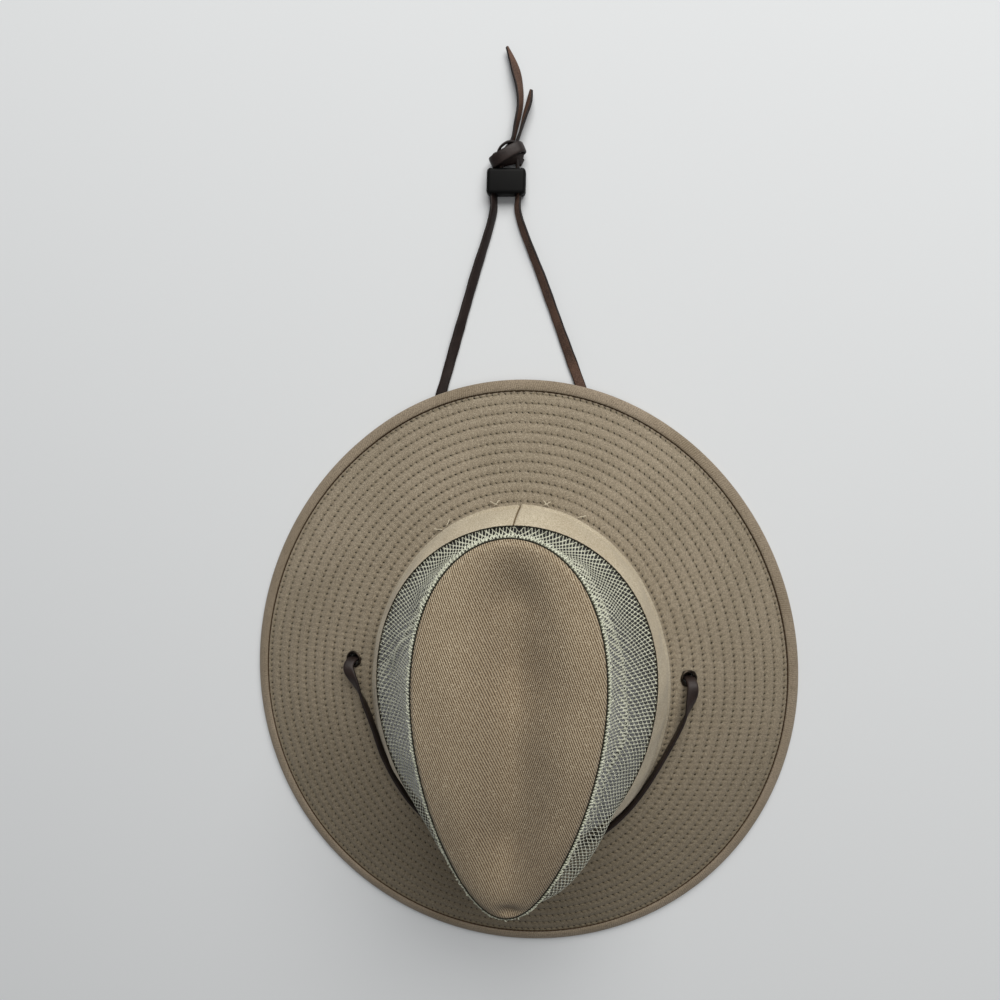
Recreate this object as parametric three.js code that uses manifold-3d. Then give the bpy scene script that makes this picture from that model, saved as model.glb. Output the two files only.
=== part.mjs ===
// Safari hat resting on its brim, with its leather chin lace laid out behind it.
// The brim is stitched twill with a bound edge. The crown is a cotton band, a mesh side wall with
// dents, and a creased twill top. The lace goes round the front of the crown, down through two
// eyelets, and out under the back of the brim to a slide, a knot and two loose ends.
// Sizes are in millimetres. +Z is up, +Y points to the back of the hat and +X to the wearer's left,
// which is the right of the picture. The origin is the middle of the brim's outline, on the ground.
// A turn is the angle round the hat, 0 at its back and a quarter turn at +X.
import * as THREE from 'three';
import { mergeVertices } from 'three/addons/utils/BufferGeometryUtils.js';
import Module from 'manifold-3d';

const wasm = await Module();
wasm.setup();

// Sizes for the whole hat
const SEAM_GAP = 0.3;
const CLOTH = 1.2;
const TURNS = 72;
const FULL_TURN = 2 * Math.PI;

// Outlines seen from above. A back above 0 makes the back half the wider one.
const OUTLINES = {
  brimEdge: { halfWidth: 161.2, halfLength: 171.5, centreX: 0, centreY: 0, back: -0.03 },
  head: { halfWidth: 84.7, halfLength: 101.7, centreX: 1, centreY: 0.7, back: -0.03 },
  bandTop: { halfWidth: 76.1, halfLength: 96.2, centreX: 0.4, centreY: -1.8, back: 0.1 },
  topRim: { halfWidth: 43.3, halfLength: 95.6, centreX: 1.9, centreY: 1.3, back: 0.29 },
};
// The angle between the two neighbours of a turn that give the direction of an outline there
const TURN_STEP = 0.001;

// Heights of the seams above the ground
const HEAD_Z = 28;
const BAND_TOP_Z = 52;
const CROWN = { sideZ: 118, tipDrop: 17, backDrop: 4 };

const BRIM = { thickness: 1.9, edgeZ: 3.1, droop: 0.12, rows: [-0.018, 0.3, 0.65, 1], step: 0.01 };
const BRIM_WIDTH = 73;
const BACK_LIFT = { height: 3, centre: -4, flat: 19, end: 36 };
const BINDING = { wall: 1, reach: 4.8, foot: 2.1, innerRow: 0.94, corner: 0.6, footOut: 0.9 };
const BAND_BULGE = 0.8;

// Dents in the mesh wall, and its bulges at the front, which have a depth below 0. The height runs
// from 0 at the band to 1 at the top panel.
const WALL_ROWS = 7;
const WALL_LEAN = 0.06;
const WALL_DENTS = [
  { turn: 0, height: 0.1, halfTurn: 48, halfHeight: 0.5, depth: 10 },
  { turn: 84, height: 0.3, halfTurn: 32, halfHeight: 0.38, depth: 6.5 },
  { turn: -86, height: 0.28, halfTurn: 32, halfHeight: 0.38, depth: 6 },
  { turn: 145, height: 0.5, halfTurn: 28, halfHeight: 0.5, depth: -8 },
  { turn: -136, height: 0.45, halfTurn: 20, halfHeight: 0.5, depth: -1.5 },
];

// The top panel: a low dome with one long crease, a little to the right of its middle
const TOP = { rings: [1, 0.95, 0.8, 0.6, 0.4, 0.2], middleX: 2, middleY: 8, dome: 5 };
const CREASE = {
  x: 8,
  halfWidth: 19,
  depth: 15,
  frontShare: 0.4,
  deepestY: 35,
  run: 115,
  fadeFrom: 0.55,
  fadeTo: 0.95,
};

// Eyelets: the left one is a little further from the band. The top flange starts above the cloth
// and the bottom one under it, each by its gap.
const EYELET = {
  turn: 86.4,
  leftAcross: 0.168,
  rightAcross: 0.146,
  bore: 3.5,
  barrel: 4,
  flange: 4.9,
  flangeHeight: 0.5,
  crown: 0.25,
  round: 0.3,
  topGap: 0.35,
  underGap: 0.4,
  sides: 16,
};
const EYELET_HOLE = 4.3;

// The lace: a flat leather strap. Its reach from the foot of the band is a share of the eyelet's.
const LACE = { width: 6.4, thickness: 1.7, chamfer: 0.35, eyeletDepth: 3, wrapOut: 1.5 };
const LACE_RISE = [
  { height: 3, forward: 0 },
  { height: 6.3, forward: 3.4 },
];
const LACE_BOW = [
  { turn: 94, reach: 1.11, up: 7 },
  { turn: 101, reach: 0.84, up: 5.6 },
  { turn: 112, reach: 0.4, up: 4.2 },
  { turn: 122, reach: 0.15, up: 3.7 },
];
const LACE_WRAP_POINTS = 11;

// Rows of x, y, z and the angle the strap leans at. Each leg runs from its eyelet down to the
// ground and back to the slide, and each tail from the knot to a loose end.
const LEG_LEFT = [
  [-95.5, 7.6, 21.09, 0],
  [-94.9, 7.5, 19.27, 0],
  [-94.4, 9.2, 12.07, 0],
  [-93.1, 14, 5.55, 0],
  [-91.2, 21.1, 1.75, 0],
  [-89.8, 25.8, 1.1, 0],
  [-88.2, 31.6, 1.1, 0],
  [-77.4, 70.8, 1.1, 0],
  [-66.5, 110.1, 1.1, 0],
  [-55.6, 149.3, 1.1, 0],
  [-44.7, 188.5, 1.12, 0],
  [-33.9, 227.8, 2.49, -28],
  [-23, 267, 3.43, -59],
  [-23, 275, 3.45, -60],
];
const LEG_RIGHT = [
  [95.4, 7.6, 21.59, 0],
  [94.9, 7.5, 19.77, 0],
  [94.3, 9.2, 12.07, 0],
  [92.4, 13.8, 5.55, 0],
  [89.7, 20.6, 1.75, 0],
  [87.9, 25.1, 1.1, 0],
  [85.6, 30.7, 1.1, 0],
  [69.9, 70.1, 1.1, 0],
  [54.1, 109.5, 1.1, 0],
  [38.3, 148.9, 1.1, 0],
  [22.5, 188.2, 1.11, 0],
  [6.8, 227.6, 2.49, 28],
  [-9, 267, 3.43, 59],
  [-9, 275, 3.45, 60],
];
const TAIL_LONG = [
  [-13.6, 303.9, 3.51, -85],
  [-11.4, 314, 3.55, -80],
  [-9.6, 324.7, 3.56, -72],
  [-10.5, 335.4, 3.36, -55],
  [-13.6, 346, 2.96, -40],
  [-17.8, 355.6, 2.78, -35],
];
const TAIL_SHORT = [
  [-10.7, 303.6, 3.51, 85],
  [-8.6, 311, 3.55, 78],
  [-6.4, 319, 3.51, 65],
  [-4.4, 326, 3.36, 55],
  [-3.4, 332.6, 3.25, 50],
];
const STEEP = 0.6;

// The slide and the knot behind the hat
const SLIDE = { x: -16, frontY: 275.3, width: 22, length: 14.6, height: 8.2, corner: 2.6 };
const KNOT = { x: -14.6, halfWidth: 8, halfLength: 6.6, halfHeight: 5.4, boxiness: 0.75 };

const COLOURS = {
  brimTwill: 0x91836a,
  binding: 0x84765c,
  bandCotton: 0xb3a488,
  meshNet: 0x9fa48c,
  topTwill: 0x9b8560,
  eyeletMetal: 0x4a4038,
  leather: 0x3a2620,
  slidePlastic: 0x16130f,
};

const radians = THREE.MathUtils.degToRad;
const lerp = THREE.MathUtils.lerp;
const smoothstep = THREE.MathUtils.smoothstep;
const bell = (distance, halfWidth) => Math.exp(-((distance / halfWidth) ** 2));

// The signed difference of two turns, in degrees
function turnBetween(turn, centre) {
  const degrees = THREE.MathUtils.radToDeg(turn) - centre;
  return THREE.MathUtils.euclideanModulo(degrees + 180, 360) - 180;
}

function outlinePoint(outline, turn) {
  const side = Math.sin(turn) * (1 + outline.back * Math.cos(turn));
  const x = outline.centreX + outline.halfWidth * side;
  return new THREE.Vector2(x, outline.centreY + outline.halfLength * Math.cos(turn));
}

// The direction away from the hat, seen from above, at a turn of an outline
function outward(outline, turn) {
  const ahead = outlinePoint(outline, turn + TURN_STEP);
  const along = ahead.sub(outlinePoint(outline, turn - TURN_STEP));
  return new THREE.Vector2(-along.y, along.x).normalize();
}

const onPlan = (plan, z) => new THREE.Vector3(plan.x, plan.y, z);

// Closed triangle meshes with their faces pointing out
function solidGeometry(points, triangles) {
  let volume = 0;
  for (const [a, b, c] of triangles) {
    volume += points[a].dot(new THREE.Vector3().crossVectors(points[b], points[c]));
  }
  const facing = volume > 0 ? triangles : triangles.map(([a, b, c]) => [a, c, b]);
  const geometry = new THREE.BufferGeometry().setFromPoints(points);
  geometry.setIndex(facing.flat());
  geometry.computeVertexNormals();
  return geometry;
}

// A ring round the hat from one closed section at each turn
function ringGeometry(sectionAt) {
  const sections = [];
  for (let step = 0; step < TURNS; step += 1) {
    sections.push(sectionAt((step * FULL_TURN) / TURNS));
  }
  const corners = sections[0].length;
  const triangles = [];
  for (let step = 0; step < TURNS; step += 1) {
    const here = step * corners;
    const next = ((step + 1) % TURNS) * corners;
    for (let corner = 0; corner < corners; corner += 1) {
      const after = (corner + 1) % corners;
      triangles.push([here + corner, next + corner, next + after]);
      triangles.push([here + corner, next + after, here + after]);
    }
  }
  return solidGeometry(sections.flat(), triangles);
}

// A wall round the hat: its outer face row by row, and the same rows moved inward
function wallGeometry(rows, outerPoint, innerPoint) {
  const shares = Array.from({ length: rows + 1 }, (_, row) => row / rows);
  return ringGeometry((turn) => [
    ...shares.map((share) => outerPoint(turn, share)),
    ...shares.map((share) => innerPoint(turn, share)).reverse(),
  ]);
}

// The same shape with positions only, where equal points are one
function merge(geometry) {
  const bare = geometry.clone();
  bare.deleteAttribute('normal');
  bare.deleteAttribute('uv');
  return mergeVertices(bare, 1e-4);
}

function toManifold(geometry) {
  const merged = merge(geometry);
  const vertProperties = Float32Array.from(merged.attributes.position.array);
  const triVerts = Uint32Array.from(merged.index.array);
  return new wasm.Manifold(new wasm.Mesh({ numProp: 3, vertProperties, triVerts }));
}

function fromManifold(solid) {
  const mesh = solid.getMesh();
  const geometry = new THREE.BufferGeometry();
  geometry.setAttribute('position', new THREE.BufferAttribute(mesh.vertProperties, 3));
  geometry.setIndex(new THREE.BufferAttribute(mesh.triVerts, 1));
  geometry.computeVertexNormals();
  return geometry;
}

// Brim: how far its back edge is lifted, and its upper face from the head (0) to the edge (1)
function edgeLift(turn) {
  const away = Math.abs(turnBetween(turn, BACK_LIFT.centre));
  return BACK_LIFT.height * (1 - smoothstep(away, BACK_LIFT.flat, BACK_LIFT.end));
}

function brimPoint(turn, across) {
  const plan = outlinePoint(OUTLINES.head, turn).lerp(outlinePoint(OUTLINES.brimEdge, turn), across);
  const slope = (1 - across) * (1 + BRIM.droop * across);
  const z = BRIM.edgeZ + (HEAD_Z - BRIM.edgeZ) * slope + edgeLift(turn) * across * across;
  return onPlan(plan, z);
}

function brimNormal(turn, across) {
  const along = brimPoint(turn + BRIM.step, across).sub(brimPoint(turn - BRIM.step, across));
  const down = brimPoint(turn, across + BRIM.step).sub(brimPoint(turn, across - BRIM.step));
  return new THREE.Vector3().crossVectors(along, down).normalize();
}

function brimSection(turn) {
  const upper = BRIM.rows.map((across) => brimPoint(turn, across));
  const lower = upper.map((point) => onPlan(point, point.z - BRIM.thickness));
  return [...upper, ...lower.reverse()];
}

function brimGeometry() {
  let solid = toManifold(ringGeometry(brimSection));
  for (const side of [-1, 1]) {
    const drill = new THREE.CylinderGeometry(EYELET_HOLE, EYELET_HOLE, 12, EYELET.sides);
    drill.applyMatrix4(eyeletMatrix(side));
    solid = solid.subtract(toManifold(drill));
  }
  return fromManifold(solid);
}

// Binding: a strip folded over the brim's edge, with a flat foot where it stands on the ground
function bindingSection(turn) {
  const edge = brimPoint(turn, 1);
  const inner = brimPoint(turn, BINDING.innerRow);
  const slope = (inner.z - edge.z) / Math.hypot(inner.x - edge.x, inner.y - edge.y);
  const direction = outward(OUTLINES.brimEdge, turn);
  const at = (out, z) => onPlan(direction.clone().multiplyScalar(out).add(edge), z);
  const under = edge.z - BRIM.thickness;
  const leg = -BINDING.reach;
  const rise = BINDING.reach * slope;
  const skin = SEAM_GAP + BINDING.wall;
  const ground = edgeLift(turn);
  return [
    at(leg, edge.z + rise + skin),
    at(-BINDING.corner, edge.z + skin),
    at(BINDING.footOut, edge.z + BINDING.corner),
    at(skin, edge.z - BRIM.thickness / 2),
    at(BINDING.footOut, ground),
    at(BINDING.footOut - BINDING.foot, ground),
    at(leg, under + rise - skin),
    at(leg, under + rise - SEAM_GAP),
    at(SEAM_GAP, under - SEAM_GAP),
    at(SEAM_GAP, edge.z + SEAM_GAP),
    at(leg, edge.z + rise + SEAM_GAP),
  ];
}

// Band: sewn to the brim round the head opening, leaning in as it rises
function bandOuter(turn, share) {
  const foot = brimPoint(turn, 0);
  const top = outlinePoint(OUTLINES.bandTop, turn);
  const plan = new THREE.Vector2(foot.x, foot.y).lerp(top, share);
  plan.addScaledVector(outward(OUTLINES.head, turn), BAND_BULGE * Math.sin(Math.PI * share));
  return onPlan(plan, lerp(foot.z + SEAM_GAP, BAND_TOP_Z - SEAM_GAP, share));
}

function bandInner(turn, share) {
  const point = bandOuter(turn, share);
  const headToEdge = brimPoint(turn, 0).distanceTo(brimPoint(turn, 1));
  const footRise = brimPoint(turn, -CLOTH / headToEdge).z - brimPoint(turn, 0).z;
  const inset = outward(OUTLINES.bandTop, turn).multiplyScalar(-CLOTH);
  return point.add(onPlan(inset, footRise * (1 - share)));
}

// Mesh wall: from the band to the rim of the top panel, with the crown's dents pushed in
function rimZ(y) {
  const front = Math.max(0, 10 - y) / 105;
  const back = Math.max(0, y - 30) / 66;
  return CROWN.sideZ - CROWN.tipDrop * front ** 1.8 - CROWN.backDrop * back ** 2;
}

function meshOuter(turn, share) {
  const foot = outlinePoint(OUTLINES.bandTop, turn);
  const top = outlinePoint(OUTLINES.topRim, turn);
  const sideways = Math.sin(turn) ** 2;
  const lean = WALL_LEAN * (2 * sideways - 1) * Math.sin(Math.PI * share);
  const plan = foot.clone().lerp(top, share + lean);
  const ease = Math.sqrt(Math.sin(Math.PI * share));
  for (const dent of WALL_DENTS) {
    const round = bell(turnBetween(turn, dent.turn), dent.halfTurn);
    const push = dent.depth * ease * round * bell(share - dent.height, dent.halfHeight);
    plan.addScaledVector(outward(OUTLINES.bandTop, turn), -push);
  }
  return onPlan(plan, lerp(BAND_TOP_Z, rimZ(top.y), share));
}

function meshInner(turn, share) {
  const inset = outward(OUTLINES.bandTop, turn).multiplyScalar(-CLOTH);
  return meshOuter(turn, share).add(onPlan(inset, 0));
}

// Top panel: its upper face from the middle (0) to the rim (1)
function topPoint(turn, reach) {
  const rim = outlinePoint(OUTLINES.topRim, turn);
  const plan = new THREE.Vector2(TOP.middleX, TOP.middleY).lerp(rim, reach);
  const forward = THREE.MathUtils.clamp((CREASE.deepestY - plan.y) / CREASE.run, 0, 1);
  const depth = CREASE.depth * lerp(1, CREASE.frontShare, forward);
  const fade = 1 - smoothstep(reach, CREASE.fadeFrom, CREASE.fadeTo);
  const crease = depth * bell(plan.x - CREASE.x, CREASE.halfWidth) * fade;
  const dome = TOP.dome * (1 - reach ** 2);
  return onPlan(plan, rimZ(plan.y) + SEAM_GAP + CLOTH + dome - crease);
}

function topGeometry() {
  const upper = TOP.rings.map((reach) => (turn) => topPoint(turn, reach));
  const lower = upper.map((row) => (turn) => row(turn).sub(new THREE.Vector3(0, 0, CLOTH)));
  const rows = [...lower.reverse(), ...upper];
  const points = [];
  const triangles = [];
  for (const row of rows) {
    for (let step = 0; step < TURNS; step += 1) {
      points.push(row((step * FULL_TURN) / TURNS));
    }
  }
  const middle = topPoint(0, 0);
  points.push(middle.clone().sub(new THREE.Vector3(0, 0, CLOTH)), middle);
  const underMiddle = rows.length * TURNS;
  const lastRow = (rows.length - 1) * TURNS;
  for (let step = 0; step < TURNS; step += 1) {
    const next = (step + 1) % TURNS;
    triangles.push([underMiddle, next, step]);
    triangles.push([underMiddle + 1, lastRow + step, lastRow + next]);
    for (let row = 0; row < rows.length - 1; row += 1) {
      const low = row * TURNS;
      const high = low + TURNS;
      triangles.push([low + step, low + next, high + next]);
      triangles.push([low + step, high + next, high + step]);
    }
  }
  return solidGeometry(points, triangles);
}

// Eyelets: a metal tube through the brim with a flange above and below it
function eyeletPlace(side) {
  const turn = side * radians(EYELET.turn);
  const across = side < 0 ? EYELET.leftAcross : EYELET.rightAcross;
  return { point: brimPoint(turn, across), normal: brimNormal(turn, across) };
}

function eyeletMatrix(side) {
  const { point, normal } = eyeletPlace(side);
  const turned = new THREE.Quaternion().setFromUnitVectors(new THREE.Vector3(0, 1, 0), normal);
  return new THREE.Matrix4().compose(point, turned, new THREE.Vector3(1, 1, 1));
}

function eyeletGeometry(side) {
  const top = EYELET.topGap;
  const under = -BRIM.thickness - EYELET.underGap;
  const high = top + EYELET.flangeHeight;
  const low = under - EYELET.flangeHeight;
  const profile = [
    [EYELET.bore, high],
    [EYELET.barrel, high + EYELET.crown],
    [EYELET.flange - EYELET.round, high],
    [EYELET.flange, top],
    [EYELET.barrel, top],
    [EYELET.barrel, under],
    [EYELET.flange, under],
    [EYELET.flange - EYELET.round, low],
    [EYELET.bore, low],
  ].map(([radius, height]) => new THREE.Vector2(radius, height));
  profile.push(profile[0].clone());
  const lathe = new THREE.LatheGeometry(profile, EYELET.sides).applyMatrix4(eyeletMatrix(side));
  return fromManifold(toManifold(outwardFacing(lathe)));
}

// The same faces, turned round if they point inwards
function outwardFacing(geometry) {
  const merged = merge(geometry);
  const position = merged.attributes.position;
  const points = [];
  for (let index = 0; index < position.count; index += 1) {
    points.push(new THREE.Vector3().fromBufferAttribute(position, index));
  }
  const order = Array.from(merged.index.array);
  const triangles = [];
  for (let first = 0; first < order.length; first += 3) {
    const [a, b, c] = order.slice(first, first + 3);
    if (a !== b && b !== c && c !== a) {
      triangles.push([a, b, c]);
    }
  }
  return solidGeometry(points, triangles);
}

// Lace: a flat section carried along a route, with its width in a given direction at each point
function strapGeometry(points, steps, widthAt) {
  const path = new THREE.CatmullRomCurve3(points, false, 'centripetal');
  path.computeFrenetFrames = () => {
    const frames = { tangents: [], normals: [], binormals: [] };
    for (let step = 0; step <= steps; step += 1) {
      const tangent = path.getTangentAt(step / steps);
      const width = widthAt(path.getPointAt(step / steps), tangent);
      const thin = new THREE.Vector3().crossVectors(width, tangent).normalize();
      frames.tangents.push(tangent);
      frames.normals.push(thin);
      frames.binormals.push(new THREE.Vector3().crossVectors(tangent, thin));
    }
    return frames;
  };
  const thick = LACE.thickness / 2;
  const half = LACE.width / 2;
  const cut = LACE.chamfer;
  const section = new THREE.Shape([
    new THREE.Vector2(thick, cut - half),
    new THREE.Vector2(thick, half - cut),
    new THREE.Vector2(thick - cut, half),
    new THREE.Vector2(cut - thick, half),
    new THREE.Vector2(-thick, half - cut),
    new THREE.Vector2(-thick, cut - half),
    new THREE.Vector2(cut - thick, -half),
    new THREE.Vector2(thick - cut, -half),
  ]);
  return outwardFacing(new THREE.ExtrudeGeometry(section, { steps, extrudePath: path }));
}

// The stretch on the hat: up out of one eyelet, round the front of the band, down the other
function laceFrontPoint(turn, out, up) {
  const foot = brimPoint(turn, 0);
  const away = outward(OUTLINES.head, turn).multiplyScalar(out);
  return foot.add(onPlan(away, up - (out / BRIM_WIDTH) * (HEAD_Z - BRIM.edgeZ)));
}

function laceFrontEnd(side) {
  const { point, normal } = eyeletPlace(side);
  const above = (height) => point.clone().addScaledVector(normal, height);
  const rise = LACE_RISE.map(({ height, forward }) => above(height).setY(above(height).y - forward));
  const reachOfEyelet = Math.abs(point.x - brimPoint(side * radians(EYELET.turn), 0).x);
  const bow = LACE_BOW.map(({ turn, reach, up }) => (
    laceFrontPoint(side * radians(turn), reach * reachOfEyelet, up)
  ));
  return [above(-LACE.eyeletDepth), ...rise, ...bow];
}

function laceFrontGeometry() {
  const last = LACE_BOW[LACE_BOW.length - 1];
  const wrap = [];
  for (let index = 1; index <= LACE_WRAP_POINTS; index += 1) {
    const turn = lerp(last.turn, 360 - last.turn, index / (LACE_WRAP_POINTS + 1));
    wrap.push(laceFrontPoint(-radians(turn), LACE.wrapOut, last.up));
  }
  const points = [...laceFrontEnd(-1), ...wrap, ...laceFrontEnd(1).reverse()];
  const eyeletY = eyeletPlace(1).point.y;
  const widthAt = (point) => {
    const lean = 0.5 * Math.PI * smoothstep(eyeletY - point.y, 2, 42);
    const turn = Math.atan2(point.x / OUTLINES.head.halfWidth, point.y / OUTLINES.head.halfLength);
    const away = outward(OUTLINES.head, turn).multiplyScalar(Math.cos(lean));
    return onPlan(away, -Math.sin(lean));
  };
  return strapGeometry(points, 60, widthAt);
}

// A stretch that lies on the ground. Where it drops steeply, its width stays square to its whole run.
function laidStrapGeometry(rows, steps) {
  const points = rows.map(([x, y, z]) => new THREE.Vector3(x, y, z));
  const wholeRun = points[points.length - 1].clone().sub(points[0]);
  const leanAt = (y) => {
    const found = rows.findIndex((row) => row[1] >= y);
    const next = Math.max(1, found < 0 ? rows.length - 1 : found);
    const [low, high] = [rows[next - 1], rows[next]];
    const share = THREE.MathUtils.clamp((y - low[1]) / (high[1] - low[1]), 0, 1);
    return radians(lerp(low[3], high[3], share));
  };
  const widthAt = (place, tangent) => {
    const heading = Math.hypot(tangent.x, tangent.y) < STEEP ? wholeRun : tangent;
    const level = new THREE.Vector3(heading.y, -heading.x, 0).normalize();
    const lean = leanAt(place.y);
    return level.multiplyScalar(Math.cos(lean)).add(new THREE.Vector3(0, 0, Math.sin(lean)));
  };
  return strapGeometry(points, steps, widthAt);
}

// Slide: a moulded block that both legs pass through
function slideGeometry() {
  const corner = SLIDE.corner;
  const halfWidth = SLIDE.width / 2 - corner;
  const halfHeight = SLIDE.height / 2 - corner;
  const outline = new THREE.Shape();
  outline.absarc(halfWidth, halfHeight, corner, 0, 0.5 * Math.PI);
  outline.absarc(-halfWidth, halfHeight, corner, 0.5 * Math.PI, Math.PI);
  outline.absarc(-halfWidth, -halfHeight, corner, Math.PI, 1.5 * Math.PI);
  outline.absarc(halfWidth, -halfHeight, corner, 1.5 * Math.PI, FULL_TURN);
  const settings = { depth: SLIDE.length, bevelEnabled: false, curveSegments: 3 };
  const block = new THREE.ExtrudeGeometry(outline, settings).rotateX(0.5 * Math.PI);
  block.translate(SLIDE.x, SLIDE.frontY + SLIDE.length, SLIDE.height / 2);
  return outwardFacing(block);
}

// Knot: the outer shape of the overhand knot behind the slide
function knotGeometry() {
  const ball = new THREE.SphereGeometry(1, 14, 9);
  const position = ball.attributes.position;
  const boxed = (value) => Math.sign(value) * Math.abs(value) ** KNOT.boxiness;
  for (let index = 0; index < position.count; index += 1) {
    const x = boxed(position.getX(index)) * KNOT.halfWidth;
    const y = boxed(position.getZ(index)) * KNOT.halfLength;
    position.setXYZ(index, x, y, boxed(position.getY(index)) * KNOT.halfHeight);
  }
  const y = SLIDE.frontY + SLIDE.length + SEAM_GAP + KNOT.halfLength;
  ball.translate(KNOT.x, y, KNOT.halfHeight);
  return outwardFacing(ball);
}

const cloth = (color) => new THREE.MeshStandardMaterial({ color, roughness: 0.92, metalness: 0 });
const leather = () => new THREE.MeshStandardMaterial({
  color: COLOURS.leather,
  roughness: 0.62,
  metalness: 0,
});
const metal = () => new THREE.MeshStandardMaterial({
  color: COLOURS.eyeletMetal,
  roughness: 0.4,
  metalness: 1,
});
const plastic = () => new THREE.MeshStandardMaterial({
  color: COLOURS.slidePlastic,
  roughness: 0.5,
  metalness: 0,
});

const hat = new THREE.Group();

function addPiece(name, geometry, material) {
  const piece = new THREE.Mesh(geometry, material);
  piece.name = name;
  hat.add(piece);
}

addPiece('brim', brimGeometry(), cloth(COLOURS.brimTwill));
addPiece('brim_binding', ringGeometry(bindingSection), cloth(COLOURS.binding));
addPiece('crown_band', wallGeometry(2, bandOuter, bandInner), cloth(COLOURS.bandCotton));
addPiece('crown_mesh', wallGeometry(WALL_ROWS, meshOuter, meshInner), cloth(COLOURS.meshNet));
addPiece('crown_top', topGeometry(), cloth(COLOURS.topTwill));
addPiece('eyelet_left', eyeletGeometry(-1), metal());
addPiece('eyelet_right', eyeletGeometry(1), metal());
addPiece('lace_front', laceFrontGeometry(), leather());
addPiece('lace_leg_left', laidStrapGeometry(LEG_LEFT, 24), leather());
addPiece('lace_leg_right', laidStrapGeometry(LEG_RIGHT, 24), leather());
addPiece('lace_slide', slideGeometry(), plastic());
addPiece('lace_knot', knotGeometry(), leather());
addPiece('lace_tail_long', laidStrapGeometry(TAIL_LONG, 8), leather());
addPiece('lace_tail_short', laidStrapGeometry(TAIL_SHORT, 8), leather());

export default hat;
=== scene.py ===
# Safari hat with a stitched twill brim, a mesh-sided creased crown and a leather chin lace.
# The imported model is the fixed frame: metres, +Z up, +Y to the back of the hat, the brim on Z 0.
# A turn is the angle round the hat, 0 at its back and a quarter turn at +X.
import math

import bmesh
import bpy
import numpy as np
from mathutils import Matrix, Vector


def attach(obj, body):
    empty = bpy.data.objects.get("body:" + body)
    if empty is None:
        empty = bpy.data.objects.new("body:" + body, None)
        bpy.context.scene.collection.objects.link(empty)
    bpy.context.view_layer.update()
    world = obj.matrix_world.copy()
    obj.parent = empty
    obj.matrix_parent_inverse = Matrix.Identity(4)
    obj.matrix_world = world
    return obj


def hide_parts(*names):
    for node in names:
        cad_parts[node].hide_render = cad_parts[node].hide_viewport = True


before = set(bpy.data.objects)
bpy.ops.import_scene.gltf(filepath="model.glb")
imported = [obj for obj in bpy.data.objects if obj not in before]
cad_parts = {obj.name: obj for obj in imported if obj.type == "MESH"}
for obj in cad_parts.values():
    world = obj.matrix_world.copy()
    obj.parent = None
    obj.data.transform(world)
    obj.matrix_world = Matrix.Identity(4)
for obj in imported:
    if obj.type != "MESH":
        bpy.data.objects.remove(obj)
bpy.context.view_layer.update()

# Camera: above the hat and a little behind its middle, at the angle of the photograph.
camera_data = bpy.data.cameras.new("camera")
camera_data.sensor_width = 36
camera_data.lens = 28.93
camera_data.clip_start = 0.01
camera = bpy.data.objects.new("camera", camera_data)
camera.matrix_world = Matrix((
    (0.9948, -0.0366, 0.0953, 0.0302),
    (0.0260, 0.9936, 0.1097, 0.1542),
    (-0.0987, -0.1067, 0.9894, 0.4722),
    (0, 0, 0, 1),
))
bpy.context.collection.objects.link(camera)
bpy.context.scene.camera = camera

# Chin lace: a quarter-inch strap cut from latigo leather, dyed dark on its grain side and brown on
# its flesh side. It wraps the front of the crown, goes down through both eyelets, lies under the
# back of the brim, and its two ends pass a slide and one knot behind the hat.
MM = 0.001
FULL_TURN = 2 * math.pi
BRIM_EDGE = (161.2, 171.5, 0, 0, -0.03)
HEAD = (84.7, 101.7, 1, 0.7, -0.03)
STRAP_WIDTH = 6.4
STRAP_THICKNESS = 1.7
STRAP_STEP = 1.2
EYELET_TURN = math.radians(86.4)
EYELET_ACROSS = {-1: 0.168, 1: 0.146}


def outline(shape, turn):
    """A point of an outline seen from above. Its last value makes the back half the wider one."""
    half_width, half_length, centre_x, centre_y, back = shape
    x = centre_x + half_width * np.sin(turn) * (1 + back * np.cos(turn))
    return np.stack([x, centre_y + half_length * np.cos(turn)], -1)


def outward(shape, turn):
    """The level direction away from the hat at a turn of an outline."""
    along = outline(shape, turn + 0.001) - outline(shape, turn - 0.001)
    away = np.stack([-along[..., 1], along[..., 0]], -1)
    return away / np.linalg.norm(away, axis=-1, keepdims=True)


def smooth(value, low, high):
    share = np.clip((value - low) / (high - low), 0, 1)
    return share * share * (3 - 2 * share)


def turn_between(turn, centre):
    """The signed difference of two turns in degrees."""
    return (np.degrees(turn) - centre + 180) % 360 - 180


def bell(distance, half_width):
    return np.exp(-((distance / half_width) ** 2))


def brim_point(turn, across):
    """The brim's upper face, from the head (0) to the edge (1). Its back is lifted for the lace."""
    turn = np.asarray(turn, float)
    across = np.asarray(across, float)
    plan = outline(HEAD, turn) * (1 - across)[..., None] + outline(BRIM_EDGE, turn) * across[..., None]
    lift = 3 * (1 - smooth(np.abs(turn_between(turn, -4)), 19, 36))
    z = 3.1 + 24.9 * (1 - across) * (1 + 0.12 * across) + lift * across**2
    return np.concatenate([plan, z[..., None]], -1)


def unit(vectors):
    return vectors / np.maximum(np.linalg.norm(vectors, axis=-1, keepdims=True), 1e-9)


def brim_normal(turn, across):
    along = brim_point(turn + 0.01, across) - brim_point(turn - 0.01, across)
    down = brim_point(turn, across + 0.01) - brim_point(turn, across - 0.01)
    return unit(np.cross(along, down))


def colour(hex_code):
    """An sRGB hex colour as linear light."""
    parts = [int(hex_code[i:i + 2], 16) / 255 for i in (1, 3, 5)]
    return (*[c / 12.92 if c <= 0.04045 else ((c + 0.055) / 1.055) ** 2.4 for c in parts], 1)


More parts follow.
